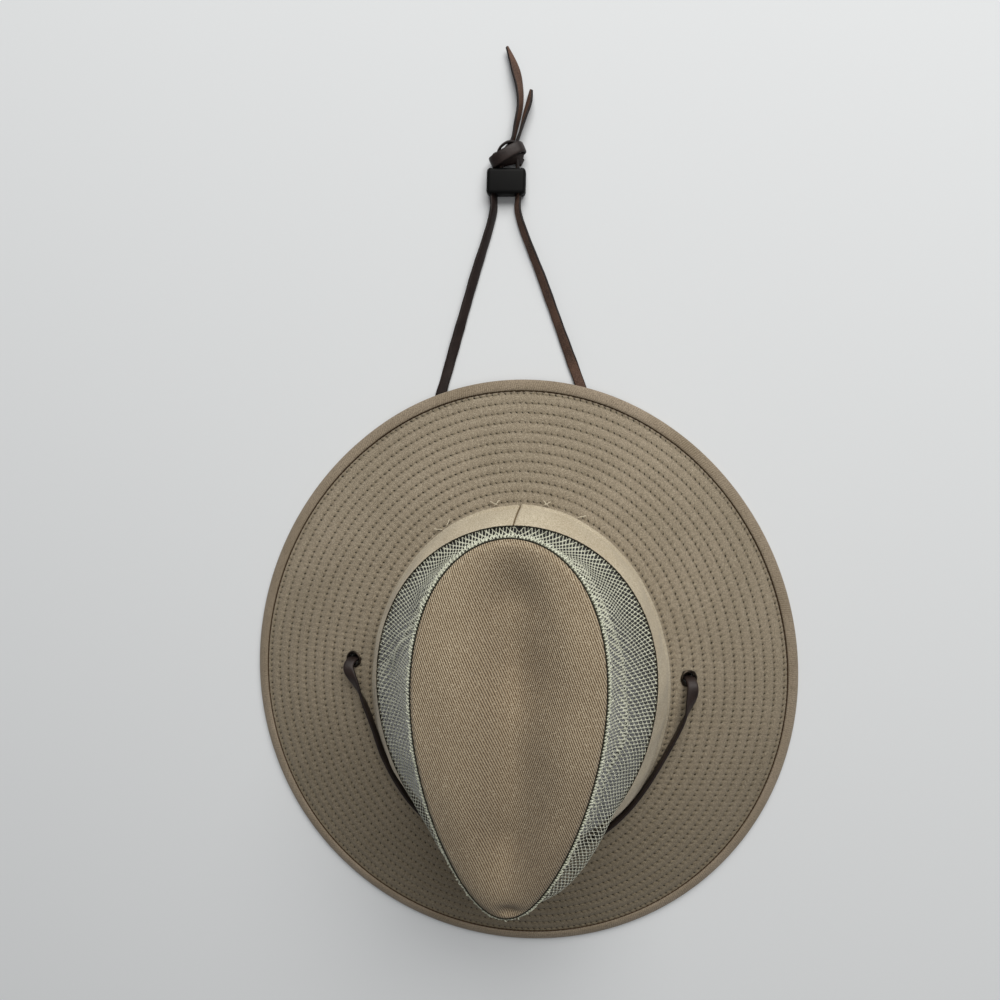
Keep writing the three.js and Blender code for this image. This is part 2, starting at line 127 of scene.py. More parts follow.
def add_node(tree, kind, sockets=None, **settings):
    """One shader node. A socket takes a value, a hex colour, an output or a node's first output."""
    made = tree.nodes.new("ShaderNode" + kind)
    for name, value in settings.items():
        setattr(made, name, value)
    for name, value in (sockets or {}).items():
        if isinstance(value, bpy.types.Node):
            value = value.outputs[0]
        if isinstance(value, bpy.types.NodeSocket):
            tree.links.new(value, made.inputs[name])
        else:
            made.inputs[name].default_value = colour(value) if isinstance(value, str) else value
    return made


def new_material(name, **values):
    """A material with one Principled shader, whose sockets take plain values and hex colours."""
    material = bpy.data.materials.new(name)
    material.use_nodes = True
    tree = material.node_tree
    tree.nodes.clear()
    sockets = {key.replace("_", " ").title().replace("Ior", "IOR"): value for key, value in values.items()}
    shader = add_node(tree, "BsdfPrincipled", sockets)
    add_node(tree, "OutputMaterial", {"Surface": shader})
    return material, tree, shader


def laid_over(tree, under, over, pattern, start, full, most=1.0):
    """One dye over another: none of it where the pattern is at start, the most of it at full."""
    limits = {"Value": pattern, "From Min": start, "From Max": full, "To Max": most}
    share = add_node(tree, "MapRange", limits)
    return add_node(tree, "Mix", {0: share, 6: under, 7: over}, data_type="RGBA").outputs[2]


def finished(tree, shader, tint, *reliefs):
    """The last step of a material: its colour, and its reliefs as pattern, depth and strength."""
    tree.links.new(tint, shader.inputs["Base Color"])
    raised_by = {}
    for pattern, depth, strength in reliefs:
        sockets = {"Height": pattern, "Distance": depth, "Strength": strength, **raised_by}
        raised_by = {"Normal": add_node(tree, "Bump", sockets).outputs[0]}
    tree.links.new(raised_by["Normal"], shader.inputs["Normal"])


def leather_side(name, base, dark, light, gloss, nap):
    """Latigo: a waxy dyed grain side, or a brown flesh side with a short nap along the strap."""
    material, tree, shader = new_material(name, roughness=gloss, specular_ior_level=0.3)
    place = add_node(tree, "TexCoord").outputs["Object"]
    patches = add_node(tree, "TexNoise", {"Vector": place, "Scale": 90, "Detail": 3, "Roughness": 0.6})
    grain = add_node(tree, "TexNoise", {"Vector": place, "Scale": 1700, "Detail": 3, "Roughness": 0.65})
    wear_and_shade = laid_over(tree, dark, base, patches, 0.35, 0.68)
    finished(tree, shader, laid_over(tree, wear_and_shade, light, grain, 0.42, 0.75, nap), (grain, 0.00025, 0.6))
    return material


grain_leather = leather_side("latigo grain side, waxed", "#2b211e", "#1a1312", "#4a3a34", 0.46, 0.3)
flesh_leather = leather_side("latigo flesh side", "#5b4236", "#392a24", "#806757", 0.8, 0.7)
edge_leather = leather_side("latigo cut edge", "#1e1614", "#120d0c", "#3a2a24", 0.6, 0.3)


def shown(obj, *materials, slot=None, replaced=()):
    """A finished piece: its materials, the body it rides on, and the parts it stands for. Its slot is not
    used.
    """
    for material in materials:
        obj.data.materials.append(material)
    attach(obj, "root")
    if replaced:
        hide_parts(*replaced)
    return obj


def woven(name, points, faces, uv=None, face_kinds=None):
    """A smooth mesh from points in millimetres and an array of four-sided faces."""
    faces = np.asarray(faces, np.int32).reshape(-1, 4)
    mesh = bpy.data.meshes.new(name)
    mesh.vertices.add(len(points))
    mesh.vertices.foreach_set("co", (np.asarray(points, float) * MM).astype(np.float32).ravel())
    mesh.loops.add(faces.size)
    mesh.loops.foreach_set("vertex_index", faces.ravel())
    mesh.polygons.add(len(faces))
    mesh.polygons.foreach_set("loop_start", np.arange(0, faces.size, 4, dtype=np.int32))
    mesh.polygons.foreach_set("loop_total", np.full(len(faces), 4, np.int32))
    if face_kinds is not None:
        mesh.polygons.foreach_set("material_index", np.asarray(face_kinds, np.int32))
    mesh.update(calc_edges=True)
    if uv is not None:
        layer = mesh.uv_layers.new(name="cloth")
        layer.data.foreach_set("uv", np.asarray(uv, np.float32).ravel())
    mesh.polygons.foreach_set("use_smooth", np.ones(len(faces), bool))
    mesh.validate()
    obj = bpy.data.objects.new(name, mesh)
    bpy.context.collection.objects.link(obj)
    return obj


def ring_faces(rings, corners, closed=False):
    """Four-sided faces between rings of as many corners each, one ring after another."""
    here = np.arange(rings if closed else rings - 1)[:, None]
    there = (here + 1) % rings
    corner = np.arange(corners)
    after = (corner + 1) % corners
    sides = [(here, corner), (there, corner), (there, after), (here, after)]
    return np.stack([ring * corners + place for ring, place in sides], -1).reshape(-1, 4)


def part_way(low, high, t, start, end):
    return low + (high - low) * (t - start) / (end - start)


def spline(knots, step=STRAP_STEP):
    """A smooth route through rows of x, y, z and further values, with points a step apart."""
    knots = np.asarray(knots, float)
    first = 2 * knots[0] - knots[1]
    last = 2 * knots[-1] - knots[-2]
    rows = np.vstack([first, knots, last])
    fine = []
    for index in range(1, len(rows) - 2):
        group = rows[index - 1:index + 3]
        gaps = np.sqrt(np.linalg.norm(np.diff(group[:, :3], axis=0), axis=1))
        times = np.concatenate([[0], np.cumsum(gaps)])
        t = np.linspace(times[1], times[2], 25)[:-1, None]
        level = [part_way(group[i], group[i + 1], t, times[i], times[i + 1]) for i in range(3)]
        second = [part_way(level[i], level[i + 1], t, times[i], times[i + 2]) for i in range(2)]
        fine.append(part_way(*second, t, times[1], times[2]))
    fine = np.vstack([*fine, knots[-1:]])
    run = np.concatenate([[0], np.cumsum(np.linalg.norm(np.diff(fine[:, :3], axis=0), axis=1))])
    count = max(2, round(run[-1] / step) + 1)
    even = np.linspace(0, run[-1], count)
    return np.stack([np.interp(even, run, fine[:, axis]) for axis in range(fine.shape[1])], -1)


def level_width(route, lean):
    """A strap's width direction where it runs over the ground and leans by an angle in degrees."""
    tangent = unit(np.gradient(route, axis=0))
    flat = np.stack([tangent[:, 1], -tangent[:, 0], 0 * tangent[:, 0]], -1)
    steep = np.linalg.norm(flat, axis=1) < 0.6
    if steep.any() and not steep.all():
        flat[steep] = flat[~steep][0]
    flat = unit(flat)
    angle = np.radians(lean)[:, None]
    return flat * np.cos(angle) + np.array([0, 0, 1]) * np.sin(angle)


# Corners of the strap's section as shares of half its width and half its thickness. The grain side
# is domed a little, and the cut edges are rounded.
SECTION = [
    (0.0, 1.0), (0.45, 0.97), (0.8, 0.86), (0.96, 0.55), (1.0, 0.0), (0.96, -0.62), (0.85, -0.95),
    (0.4, -1.0), (0.0, -1.0), (-0.4, -1.0), (-0.85, -0.95), (-0.96, -0.62), (-1.0, 0.0),
    (-0.96, 0.55), (-0.8, 0.86), (-0.45, 0.97),
]
GRAIN_SIDE, FLESH_SIDE, CUT_EDGE = 0, 1, 2
SECTION_KINDS = [GRAIN_SIDE] * 3 + [CUT_EDGE] * 3 + [FLESH_SIDE] * 4 + [CUT_EDGE] * 3 + [GRAIN_SIDE] * 3


def strap_parts(route, width_way, widths, thickness=STRAP_THICKNESS, flesh_up=False):
    """Points, faces and face kinds of a flat strap along a route, closed at both ends."""
    tangent = unit(np.gradient(route, axis=0))
    side = unit(width_way - tangent * np.sum(width_way * tangent, -1, keepdims=True))
    thin = np.cross(side, tangent)
    section = np.array(SECTION)
    if flesh_up:
        section = section * [1, -1]
    half = np.asarray(widths, float)[:, None, None] / 2
    rings = (
        route[:, None]
        + side[:, None] * section[None, :, :1] * half
        + thin[:, None] * section[None, :, 1:] * thickness / 2
    )
    corners = len(section)
    quads = ring_faces(len(route), corners)
    kinds = np.tile(SECTION_KINDS, len(route) - 1)
    points = [rings.reshape(-1, 3), route[:1], route[-1:]]
    total = len(route) * corners
    ends = []
    for corner in range(0, corners, 2):
        following = [(corner + 1) % corners, (corner + 2) % corners]
        ends.append([total, corner, *following])
        far = (len(route) - 1) * corners
        ends.append([total + 1, far + following[1], far + following[0], far + corner])
    quads = np.vstack([quads, ends])
    if not flesh_up:
        quads = quads[:, ::-1]
    return np.vstack(points), quads, np.concatenate([kinds, np.full(len(ends), CUT_EDGE)])


def strap(name, route, width_way, widths, **settings):
    points, quads, kinds = strap_parts(route, width_way, widths, **settings)
    return woven(name, points, quads, face_kinds=kinds)


# Rows of x, y, z and lean: out of the eyelet, down and round to the ground, to the slide, through it
# and the knot, and on to the loose end.
LEFT_LACE = [
    (-95.5, 7.6, 21.1, 0), (-94.9, 7.5, 19.3, 0), (-94.4, 9.2, 12.1, 0), (-93.1, 14.0, 5.55, 0),
    (-91.2, 21.1, 1.75, 0), (-89.8, 25.8, 1.1, 0), (-88.2, 31.6, 1.1, 0), (-77.4, 70.8, 1.1, 0),
    (-66.5, 110.1, 1.1, 0), (-55.6, 149.3, 1.1, 0), (-48.4, 175.2, 1.15, 0), (-44.7, 188.5, 2.1, -25),
    (-33.9, 227.8, 2.95, -42), (-23.0, 267.0, 3.43, -59), (-23.0, 275.0, 3.45, -60),
    (-22.4, 283.0, 3.6, -70), (-18.6, 294.0, 4.2, -160), (-13.6, 303.9, 3.61, -260),
    (-11.4, 314.0, 3.6, -258), (-9.6, 324.7, 3.56, -247), (-10.5, 335.4, 3.36, -231),
    (-13.6, 346.0, 3.06, -212), (-17.8, 355.6, 2.88, -216),
]
RIGHT_LACE = [
    (95.4, 7.6, 21.6, 0), (94.9, 7.5, 19.8, 0), (94.3, 9.2, 12.1, 0), (92.4, 13.8, 5.55, 0),
    (89.7, 20.6, 1.75, 0), (87.9, 25.1, 1.1, 0), (85.6, 30.7, 1.1, 0), (69.9, 70.1, 1.1, 0),
    (54.1, 109.5, 1.1, 0), (38.3, 148.9, 1.1, 0), (27.9, 174.8, 1.15, 0), (22.5, 188.2, 2.1, 25),
    (6.8, 227.6, 2.95, 42), (-9.0, 267.0, 3.43, 59), (-9.0, 275.0, 3.45, 60), (-9.2, 283.0, 3.6, 70),
    (-10.2, 294.0, 4.2, 82), (-10.7, 303.6, 3.51, 85), (-8.6, 311.0, 3.55, 78),
    (-6.4, 319.0, 3.49, 65), (-4.4, 326.0, 3.36, 55), (-3.4, 332.6, 3.25, 50),
]


def laced_end(name, rows, tip, replaced, flesh_up=False):
    """One end of the lace as a free cord, its tip cut to a slanted point."""
    route = spline(rows)
    run = np.concatenate([[0], np.cumsum(np.linalg.norm(np.diff(route[:, :3], axis=0), axis=1))])
    left = run[-1] - run
    widths = STRAP_WIDTH * (1 - (1 - np.clip(left / tip, 0, 1)) ** 1.6 * 0.82)
    widths *= 0.95 + 0.03 * np.sin(run / 6.3) + 0.02 * np.sin(run / 2.1)
    way = level_width(route[:, :3], route[:, 3])
    piece = strap(name, route[:, :3], way, widths, flesh_up=flesh_up)
    shown(piece, grain_leather, flesh_leather, edge_leather, slot="lace_leather", replaced=replaced)


# Slide: a small block of black plastic, moulded with two slots side by side. One end of the lace
# passes through each slot, which grips it. The plastic is dull, with the fine grain of its mould.
slide_plastic, tree, shader = new_material(
    "moulded matt plastic", base_color="#050505", roughness=0.55, specular_ior_level=0.15)
place = add_node(tree, "TexCoord").outputs["Object"]
mould_grain = add_node(tree, "TexNoise", {"Vector": place, "Scale": 2600})
relief = add_node(tree, "Bump", {"Height": mould_grain, "Distance": 0.0001, "Strength": 0.5})
tree.links.new(relief.outputs[0], shader.inputs["Normal"])
bpy.ops.object.select_all(action="DESELECT")
bpy.ops.mesh.primitive_cube_add(size=1, location=(-0.016, 0.2826, 0.0041), scale=(0.022, 0.0146, 0.0082))
slide = bpy.context.object
slide.name = "slide"
bpy.ops.object.transform_apply(location=True, rotation=True, scale=True)
bpy.ops.object.mode_set(mode="EDIT")
bpy.ops.mesh.select_all(action="SELECT")
bpy.ops.mesh.bevel(offset=0.0024, segments=5, profile=0.55)
bpy.ops.object.mode_set(mode="OBJECT")
for side in (-1, 1):
    slot_middle = (-0.016 + side * 0.0069, 0.2826, 0.0041)
    bpy.ops.mesh.primitive_cube_add(size=1, location=slot_middle, scale=(0.0026, 0.03, 0.0066))
    cutter = bpy.context.object
    bpy.ops.object.transform_apply(location=True, rotation=True, scale=True)
    slot_cut = slide.modifiers.new("slot", "BOOLEAN")
    slot_cut.object = cutter
    bpy.ops.object.select_all(action="DESELECT")
    bpy.context.view_layer.objects.active = slide
    slide.select_set(True)
    bpy.ops.object.modifier_apply(modifier="slot")
    bpy.data.objects.remove(cutter)
edges = slide.modifiers.new("edges", "BEVEL")
edges.width = 0.0003
edges.segments = 2
edges.limit_method = "ANGLE"
bpy.ops.object.modifier_apply(modifier="edges")
bpy.ops.object.shade_smooth_by_angle(angle=math.radians(40))
shown(slide, slide_plastic, slot="slide_plastic", replaced=["lace_slide"])

# Knot: both ends of the lace tied together once and pulled tight behind the slide. It shows as four
# turns of the strap round the knot's middle, each with a width of its own.
KNOT_MIDDLE = np.array([-15.0, 297.2, 4.6])
KNOT_WIDTHS = [6.4, 6.2, 4.6, 6.0]
KNOT_WRAPS = [
    # Over the front of the knot from the left lobe up to the right, and down behind it.
    [(-23.9, 292.6, 3.0, 0), (-24.0, 292.4, 7.2, 0), (-20.4, 294.0, 10.0, 0), (-14.4, 297.2, 10.8, 0),
     (-8.8, 300.4, 9.0, 0), (-6.8, 301.2, 5.0, 0), (-8.6, 300.2, 2.2, 0)],
    # The loop behind it, from the left lobe round the back to the right.
    [(-21.8, 297.0, 4.4, 0), (-19.4, 301.2, 6.4, 0), (-14.8, 303.8, 7.0, 0), (-10.0, 303.2, 6.2, 0),
     (-8.0, 300.4, 4.6, 0)],
    # Under the lobe at the left and the length of the knot.
    [(-22.0, 291.2, 2.4, 0), (-24.4, 293.2, 3.2, 0), (-23.4, 296.6, 3.2, 0), (-18.4, 297.2, 2.2, 0),
     (-11.0, 296.2, 2.0, 0), (-7.4, 293.4, 2.8, 0)],
    # The turn against the slide, under the band and across both ends.
    [(-23.0, 293.0, 3.4, 0), (-20.6, 292.6, 6.2, 0), (-15.4, 293.4, 7.6, 0), (-10.2, 294.6, 7.0, 0),
     (-7.2, 295.6, 4.4, 0)],
]
knot_points, knot_faces, knot_kinds, total = [], [], [], 0
for width, rows in zip(KNOT_WIDTHS, KNOT_WRAPS):
    route = spline(rows, 0.8)[:, :3]
    way = np.cross(unit(np.gradient(route, axis=0)), unit(route - KNOT_MIDDLE))
    points, quads, kinds = strap_parts(route, way, np.full(len(route), width), thickness=1.5)
    knot_points.append(points)
    knot_faces.append(quads + total)
    knot_kinds.append(kinds)
    total += len(points)
knot_points, knot_faces, knot_kinds = map(np.concatenate, (knot_points, knot_faces, knot_kinds))
knot = woven("lace_tied_knot", knot_points, knot_faces, face_kinds=knot_kinds)
shown(knot, grain_leather, flesh_leather, edge_leather, slot="lace_leather", replaced=["lace_knot"])

laced_end("lace_left_end", LEFT_LACE, 19, ["lace_leg_left", "lace_tail_long"])
laced_end("lace_right_end", RIGHT_LACE, 9, ["lace_leg_right", "lace_tail_short"], flesh_up=True)

# The stretch of lace on the hat: up out of one eyelet, round the front of the band on its edge.
# Each row: the turn, the distance from the band as a share of the eyelet's, the height above it.
LACE_BOW = {
    1: [(94.5, 1.0, 6.6), (101, 0.7, 5.6), (110, 0.36, 4.6), (121, 0.17, 4.0)],
    -1: [(93.5, 0.72, 6.6), (99, 0.4, 5.6), (107, 0.17, 4.5), (118, 0.13, 3.9)],
}


def on_band(turn, out, up):
    x, y, z = brim_point(turn, 0.0)
    away = outward(HEAD, turn) * out
    return (x + away[0], y + away[1], z + up - out / 73 * 24.9)


def lace_mouth(side):
    point = brim_point(side * EYELET_TURN, EYELET_ACROSS[side])
    normal = brim_normal(side * EYELET_TURN, EYELET_ACROSS[side])
    reach = abs(point[0] - brim_point(side * EYELET_TURN, 0.0)[0])
    start = [point + normal * h for h in (-3, 3)] + [point + normal * 6.3 + [0, -3.4, 0]]
    bow = [on_band(side * math.radians(t), share * reach, up) for t, share, up in LACE_BOW[side]]
    return [tuple(p) for p in start] + bow


wrap = [on_band(-math.radians(t), 1.5, 3.7) for t in np.linspace(122, 238, 13)[1:-1]]
front_route = spline([*lace_mouth(-1), *wrap, *reversed(lace_mouth(1))])
forward = brim_point(EYELET_TURN, EYELET_ACROSS[1])[1] - front_route[:, 1]
lean = 0.5 * np.pi * smooth(forward, 1, 26)
round_turn = np.arctan2(front_route[:, 0] / 84.7, front_route[:, 1] / 101.7)
away = np.concatenate([outward(HEAD, round_turn), np.zeros((len(front_route), 1))], -1)
way = away * np.cos(lean)[:, None] - np.array([0, 0, 1]) * np.sin(lean)[:, None]
squeeze = 1 - 0.12 * np.clip(1 - np.abs(forward) / 6, 0, 1)
lace_front = strap("lace_round_front", front_route, way, STRAP_WIDTH * squeeze)
shown(lace_front, grain_leather, grain_leather, edge_leather, slot="lace_leather", replaced=["lace_front"])

# Brim: layers of washed cotton twill quilted together by twelve rows of lockstitch. The needle
# holes pull small dimples into it, and the cloth puffs up between the rows.
BRIM_THICKNESS = 1.9
FIRST_ROW = 0.032
ROW_GAP = 0.0792
ROWS = 12
STITCH = 3.6
BRIM_STEPS = 960
ROW_CUTS = 6


def row_arc(turn, across):
    """How far along its row each point lies, in millimetres, from the seam at the back."""
    fine = np.linspace(0, FULL_TURN, 721)
    points = brim_point(fine, np.full(721, across))
    run = np.concatenate([[0], np.cumsum(np.linalg.norm(np.diff(points, axis=0), axis=1))])
    return np.interp(turn, fine, run)


def cloth_waves(turn, across):
    """Broad slow waves of the brim after long wear, a little over half a millimetre high."""
    wave = 0.35 * np.sin(3 * turn + 0.6) * across + 0.3 * np.sin(7 * turn + 1.9) * across**2
    return wave * (1 - smooth(across, 0.8, 1.0))


def brim_relief(turn, across):
    """The height of the quilting above the plain brim: ridges, stitch lines and needle holes."""
    row = (across - FIRST_ROW) / ROW_GAP
    nearest = np.clip(np.rint(row), 0, ROWS - 1)
    off = (row - nearest) * ROW_GAP * 75
    height = 0.55 * (1 - np.exp(-(np.abs(off) / 1.5) ** 1.3)) - 0.3
    height = height * smooth(1 - across, 0.03, 0.07)
    # The cloth's own joining seam runs aslant over the back of the brim as a shallow groove.
    seam = np.interp(across, [0.7, 0.8, 0.92], [-11.5, -6.0, -2.0])
    inside_seam = smooth(across, 0.66, 0.71) * (1 - smooth(across, 0.92, 0.95))
    height = height - 0.4 * bell(turn_between(turn, seam) * 2.7, 1.1) * inside_seam
    along = np.zeros_like(turn)
    for index in range(ROWS):
        chosen = nearest == index
        arc = row_arc(turn[chosen], FIRST_ROW + index * ROW_GAP)
        along[chosen] = (arc / STITCH + 0.37 * index) % 1 - 0.5
    hole = bell(along * STITCH + 0.35 * off, 0.85) * bell(off, 1.2)
    between = (1 - bell(along * STITCH, 1.0)) * bell(off, 1.8)
    uneven = 0.75 + 0.25 * np.sin(37 * turn + 9 * nearest) * np.sin(61 * turn - 4 * nearest)
    return height - 0.7 * hole * uneven + 0.34 * between + cloth_waves(turn, across)


row_cuts = np.arange(-2, (ROWS - 1) * ROW_CUTS + 7) / ROW_CUTS * ROW_GAP + FIRST_ROW
across_rows = np.concatenate([[-0.012], row_cuts])
under_rows = across_rows[::3][::-1]
turns = np.arange(BRIM_STEPS) / BRIM_STEPS * FULL_TURN
ring_turn, ring_across = np.meshgrid(turns, across_rows, indexing="ij")
upper = brim_point(ring_turn, ring_across)
lift = np.concatenate([0 * upper[..., :2], brim_relief(ring_turn, ring_across)[..., None]], -1)
under_turn, under_across = np.meshgrid(turns, under_rows, indexing="ij")
under = brim_point(under_turn, under_across) - [0, 0, BRIM_THICKNESS]
under[..., 2] += cloth_waves(under_turn, under_across)
section = np.concatenate([upper + lift, under], 1)
corners = section.shape[1]
points = section.reshape(-1, 3)
quads = ring_faces(BRIM_STEPS, corners, closed=True)
middles = points[quads].mean(1)
keep = np.ones(len(quads), bool)
for side in (-1, 1):
    eye = brim_point(side * EYELET_TURN, EYELET_ACROSS[side])
    near = np.linalg.norm(middles[:, :2] - eye[:2], axis=1)
    keep &= near > 4.35
    gap = np.linalg.norm(points[:, :2] - eye[:2], axis=1)
    inner = (gap < 4.25) & (gap > 0)
    points[inner, :2] = eye[:2] + (points[inner, :2] - eye[:2]) / gap[inner, None] * 4.25
all_across = np.concatenate([across_rows, under_rows])
corner_across = np.tile(all_across, BRIM_STEPS)[quads]
face_row = np.clip(np.rint((corner_across.mean(1) - FIRST_ROW) / ROW_GAP), 0, ROWS - 1)
corner_turn = np.repeat(turns, corners)[quads]
corner_turn = np.where((corner_turn < 1) & (corner_turn.max(1, keepdims=True) > 5), FULL_TURN, corner_turn)
along = np.zeros(quads.shape)
for index in range(ROWS):
    chosen = face_row == index
    along[chosen] = row_arc(corner_turn[chosen], FIRST_ROW + index * ROW_GAP) / STITCH + 0.37 * index
off = (corner_across - FIRST_ROW) / ROW_GAP - face_row[:, None]
cloth_uv = np.stack([along, off], -1)[keep][:, ::-1]
brim = woven("brim_cloth", points, quads[keep][:, ::-1], uv=cloth_uv)


def twill_ribs(tree, place, slant, pitch, waver, waver_scale):
    """The slanted ribs of a twill, a pitch apart. A wave of scale 1 has bands 0.314 apart."""
    turned = add_node(tree, "Mapping", {"Vector": place, "Rotation": (0, 0, math.radians(slant))})
    wave = {"Vector": turned, "Scale": 0.314 / pitch, "Distortion": waver}
    wave.update({"Detail": 1, "Detail Scale": waver_scale})
    return add_node(tree, "TexWave", wave, bands_direction="X").outputs["Fac"]


# Washed cotton twill: fine slanted ribs, uneven dye, and a dry, nearly matt surface. Its yarn is
# drawn a little coarser than it is, so that it shows.
brim_twill, tree, shader = new_material(
    "washed cotton twill, quilted", roughness=0.9, specular_ior_level=0.22,
    sheen_weight=0.12, sheen_roughness=0.5)
place = add_node(tree, "TexCoord").outputs["Object"]
ribs = twill_ribs(tree, place, 40, 0.0009, 0.8, 3)
yarn = add_node(tree, "TexNoise", {"Vector": place, "Scale": 1550, "Detail": 3, "Roughness": 0.75})
patches = add_node(tree, "TexNoise", {"Vector": place, "Scale": 22, "Detail": 4, "Roughness": 0.55})
cloth = laid_over(tree, "#877b67", "#978a76", patches, 0.3, 0.7)
cloth = laid_over(tree, cloth, "#a69b87", ribs, 0.1, 0.9, 0.35)
cloth = laid_over(tree, cloth, "#61584a", yarn, 0.5, 0.66, 0.62)
cloth = laid_over(tree, cloth, "#c2b7a4", yarn, 0.5, 0.34, 0.62)
# Painted shade: the brim's colour is darker towards its front, where the crown shades it and the brim slopes
# away from the light.
lengthways = add_node(tree, "SeparateXYZ", {"Vector": place}).outputs[1]
cloth = laid_over(tree, cloth, "#433a22", lengthways, 0.06, -0.12, 0.4)
# The cloth map counts stitches along each row and row gaps across it. Each needle hole is painted dark, as
# painted shade in the hole: a little off its place, slanted like the shadow it stands for, and darker or
# lighter than the next.
stitches = add_node(tree, "SeparateXYZ", {"Vector": add_node(tree, "UVMap", uv_map="cloth")})
wander = add_node(tree, "TexNoise", {"Vector": place, "Scale": 260, "Detail": 1})
loose = add_node(tree, "Math", {0: wander, 1: 0.5, 2: -0.25}, operation="MULTIPLY_ADD")
moved = add_node(tree, "Math", {0: stitches, 1: loose}, operation="ADD")
share = add_node(tree, "Math", {0: moved}, operation="FRACT")
along_mm = add_node(tree, "Math", {0: share, 1: STITCH, 2: -STITCH / 2}, operation="MULTIPLY_ADD")
off_mm = add_node(tree, "Math", {0: stitches.outputs[1], 1: ROW_GAP * 75}, operation="MULTIPLY")
slanted = add_node(tree, "Math", {0: off_mm, 1: 0.55, 2: along_mm}, operation="MULTIPLY_ADD")
narrowed = add_node(tree, "Math", {0: slanted, 1: 1.25}, operation="MULTIPLY")
from_hole = add_node(tree, "CombineXYZ", {0: narrowed, 1: off_mm})
far = add_node(tree, "VectorMath", {0: from_hole}, operation="LENGTH").outputs["Value"]
from_row = add_node(tree, "Math", {0: off_mm}, operation="ABSOLUTE")
uneven = add_node(tree, "TexNoise", {"Vector": place, "Scale": 320, "Detail": 1})
hole = add_node(tree, "MapRange", {"Value": uneven, "From Min": 0.3, "From Max": 0.55, "To Min": 0.7})
# Painted shade: darker along each row of stitches, in the valley between the puffs of cloth.
cloth = laid_over(tree, cloth, "#4f4637", from_row, 1.6, 0.1, 0.16)
# Painted shade: each needle hole nearly black, slanted like its shadow.
cloth = laid_over(tree, cloth, "#17130d", far, 0.78, 0.35, hole)
finished(tree, shader, cloth, (ribs, 0.00012, 0.5), (yarn, 0.0005, 0.7))
shown(brim, brim_twill, slot="brim_twill", replaced=["brim"])

# Stitches: cotton thread in the brim's own colour, one short stitch between each two holes. The
# machine's pull bends both ends of a stitch down into the cloth.
bpy.ops.object.select_all(action="DESELECT")
bpy.ops.mesh.primitive_cylinder_add(
    vertices=5, radius=0.00024, depth=0.0026, end_fill_type="NGON", rotation=(0, math.pi / 2, 0))
stitch = bpy.context.object
bpy.ops.object.transform_apply(location=True, rotation=True, scale=True)
bpy.ops.object.mode_set(mode="EDIT")
bpy.ops.mesh.select_all(action="DESELECT")
shape = bmesh.from_edit_mesh(stitch.data)
for edge in shape.edges:
    edge.select = abs(edge.verts[0].co.x - edge.verts[1].co.x) > 0.001
bmesh.update_edit_mesh(stitch.data)
bpy.ops.mesh.subdivide(number_cuts=1)
bpy.ops.mesh.select_all(action="DESELECT")
for vert in shape.verts:
    vert.select = abs(vert.co.x) > 0.001
bmesh.update_edit_mesh(stitch.data)
bpy.ops.transform.translate(value=(0, 0, -0.0003))
bpy.ops.transform.resize(value=(1, 0.6, 0.6), center_override=(0, 0, -0.0003))
bpy.ops.object.mode_set(mode="OBJECT")
stitch_points = np.array([v.co for v in stitch.data.vertices]) / MM
stitch_faces = [tuple(p.vertices) for p in stitch.data.polygons]
stitch_quads = np.array([f for f in stitch_faces if len(f) == 4])
bpy.data.objects.remove(stitch)


def copied(name, shape_points, shape_quads, places, along, up):
    """One joined mesh of many copies, each at its place, its X along and its Z up."""
    along = unit(along)
    side = unit(np.cross(up, along))
    up = np.cross(along, side)
    turned = (
        along[:, None] * shape_points[None, :, :1]
        + side[:, None] * shape_points[None, :, 1:2]
        + up[:, None] * shape_points[None, :, 2:]
    )
    points = (places[:, None] + turned).reshape(-1, 3)
    faces = (np.arange(len(places))[:, None, None] * len(shape_points) + shape_quads).reshape(-1, 4)
    return woven(name, points, faces)


spots, ways, ups = [], [], []
for index in range(ROWS):
    across = FIRST_ROW + index * ROW_GAP
    fine = np.linspace(0, FULL_TURN, 2881)
    arc = row_arc(fine, across)
    centres = np.arange(math.ceil(-0.37 * index), int(arc[-1] / STITCH - 0.5) + 1) - 0.37 * index
    centres = centres[(centres > 0.1) & (centres * STITCH < arc[-1] - 1)]
    turn = np.interp(centres * STITCH, arc, fine)
    row = np.full(len(turn), across)
    spot = brim_point(turn, row)
    spot[:, 2] += brim_relief(turn, row) + 0.12
    spots.append(spot)
    ways.append(brim_point(turn + 0.005, row) - brim_point(turn - 0.005, row))
    ups.append(brim_normal(turn, row))
spots, ways, ups = np.vstack(spots), np.vstack(ways), np.vstack(ups)
clear = np.ones(len(spots), bool)
for side in (-1, 1):
    eye = brim_point(side * EYELET_TURN, EYELET_ACROSS[side])
    clear &= np.linalg.norm(spots[:, :2] - eye[:2], axis=1) > 6.2
brim_stitches = copied("brim_stitches", stitch_points, stitch_quads, spots[clear], ways[clear], ups[clear])


def thread(name, base, dark, roughness=0.8):
    """Spun thread: matt, with the light and dark of its twisted plies."""
    material, tree, shader = new_material(name, roughness=roughness, specular_ior_level=0.25)
    place = add_node(tree, "TexCoord").outputs["Object"]
    plies = add_node(tree, "TexNoise", {"Vector": place, "Scale": 1400, "Roughness": 0.6})
    finished(tree, shader, laid_over(tree, dark, base, plies, 0.3, 0.7), (plies, 0.0002, 0.5))
    return material


shown(brim_stitches, thread("cotton lockstitch thread", "#968a72", "#7b705b"), slot="brim_twill")

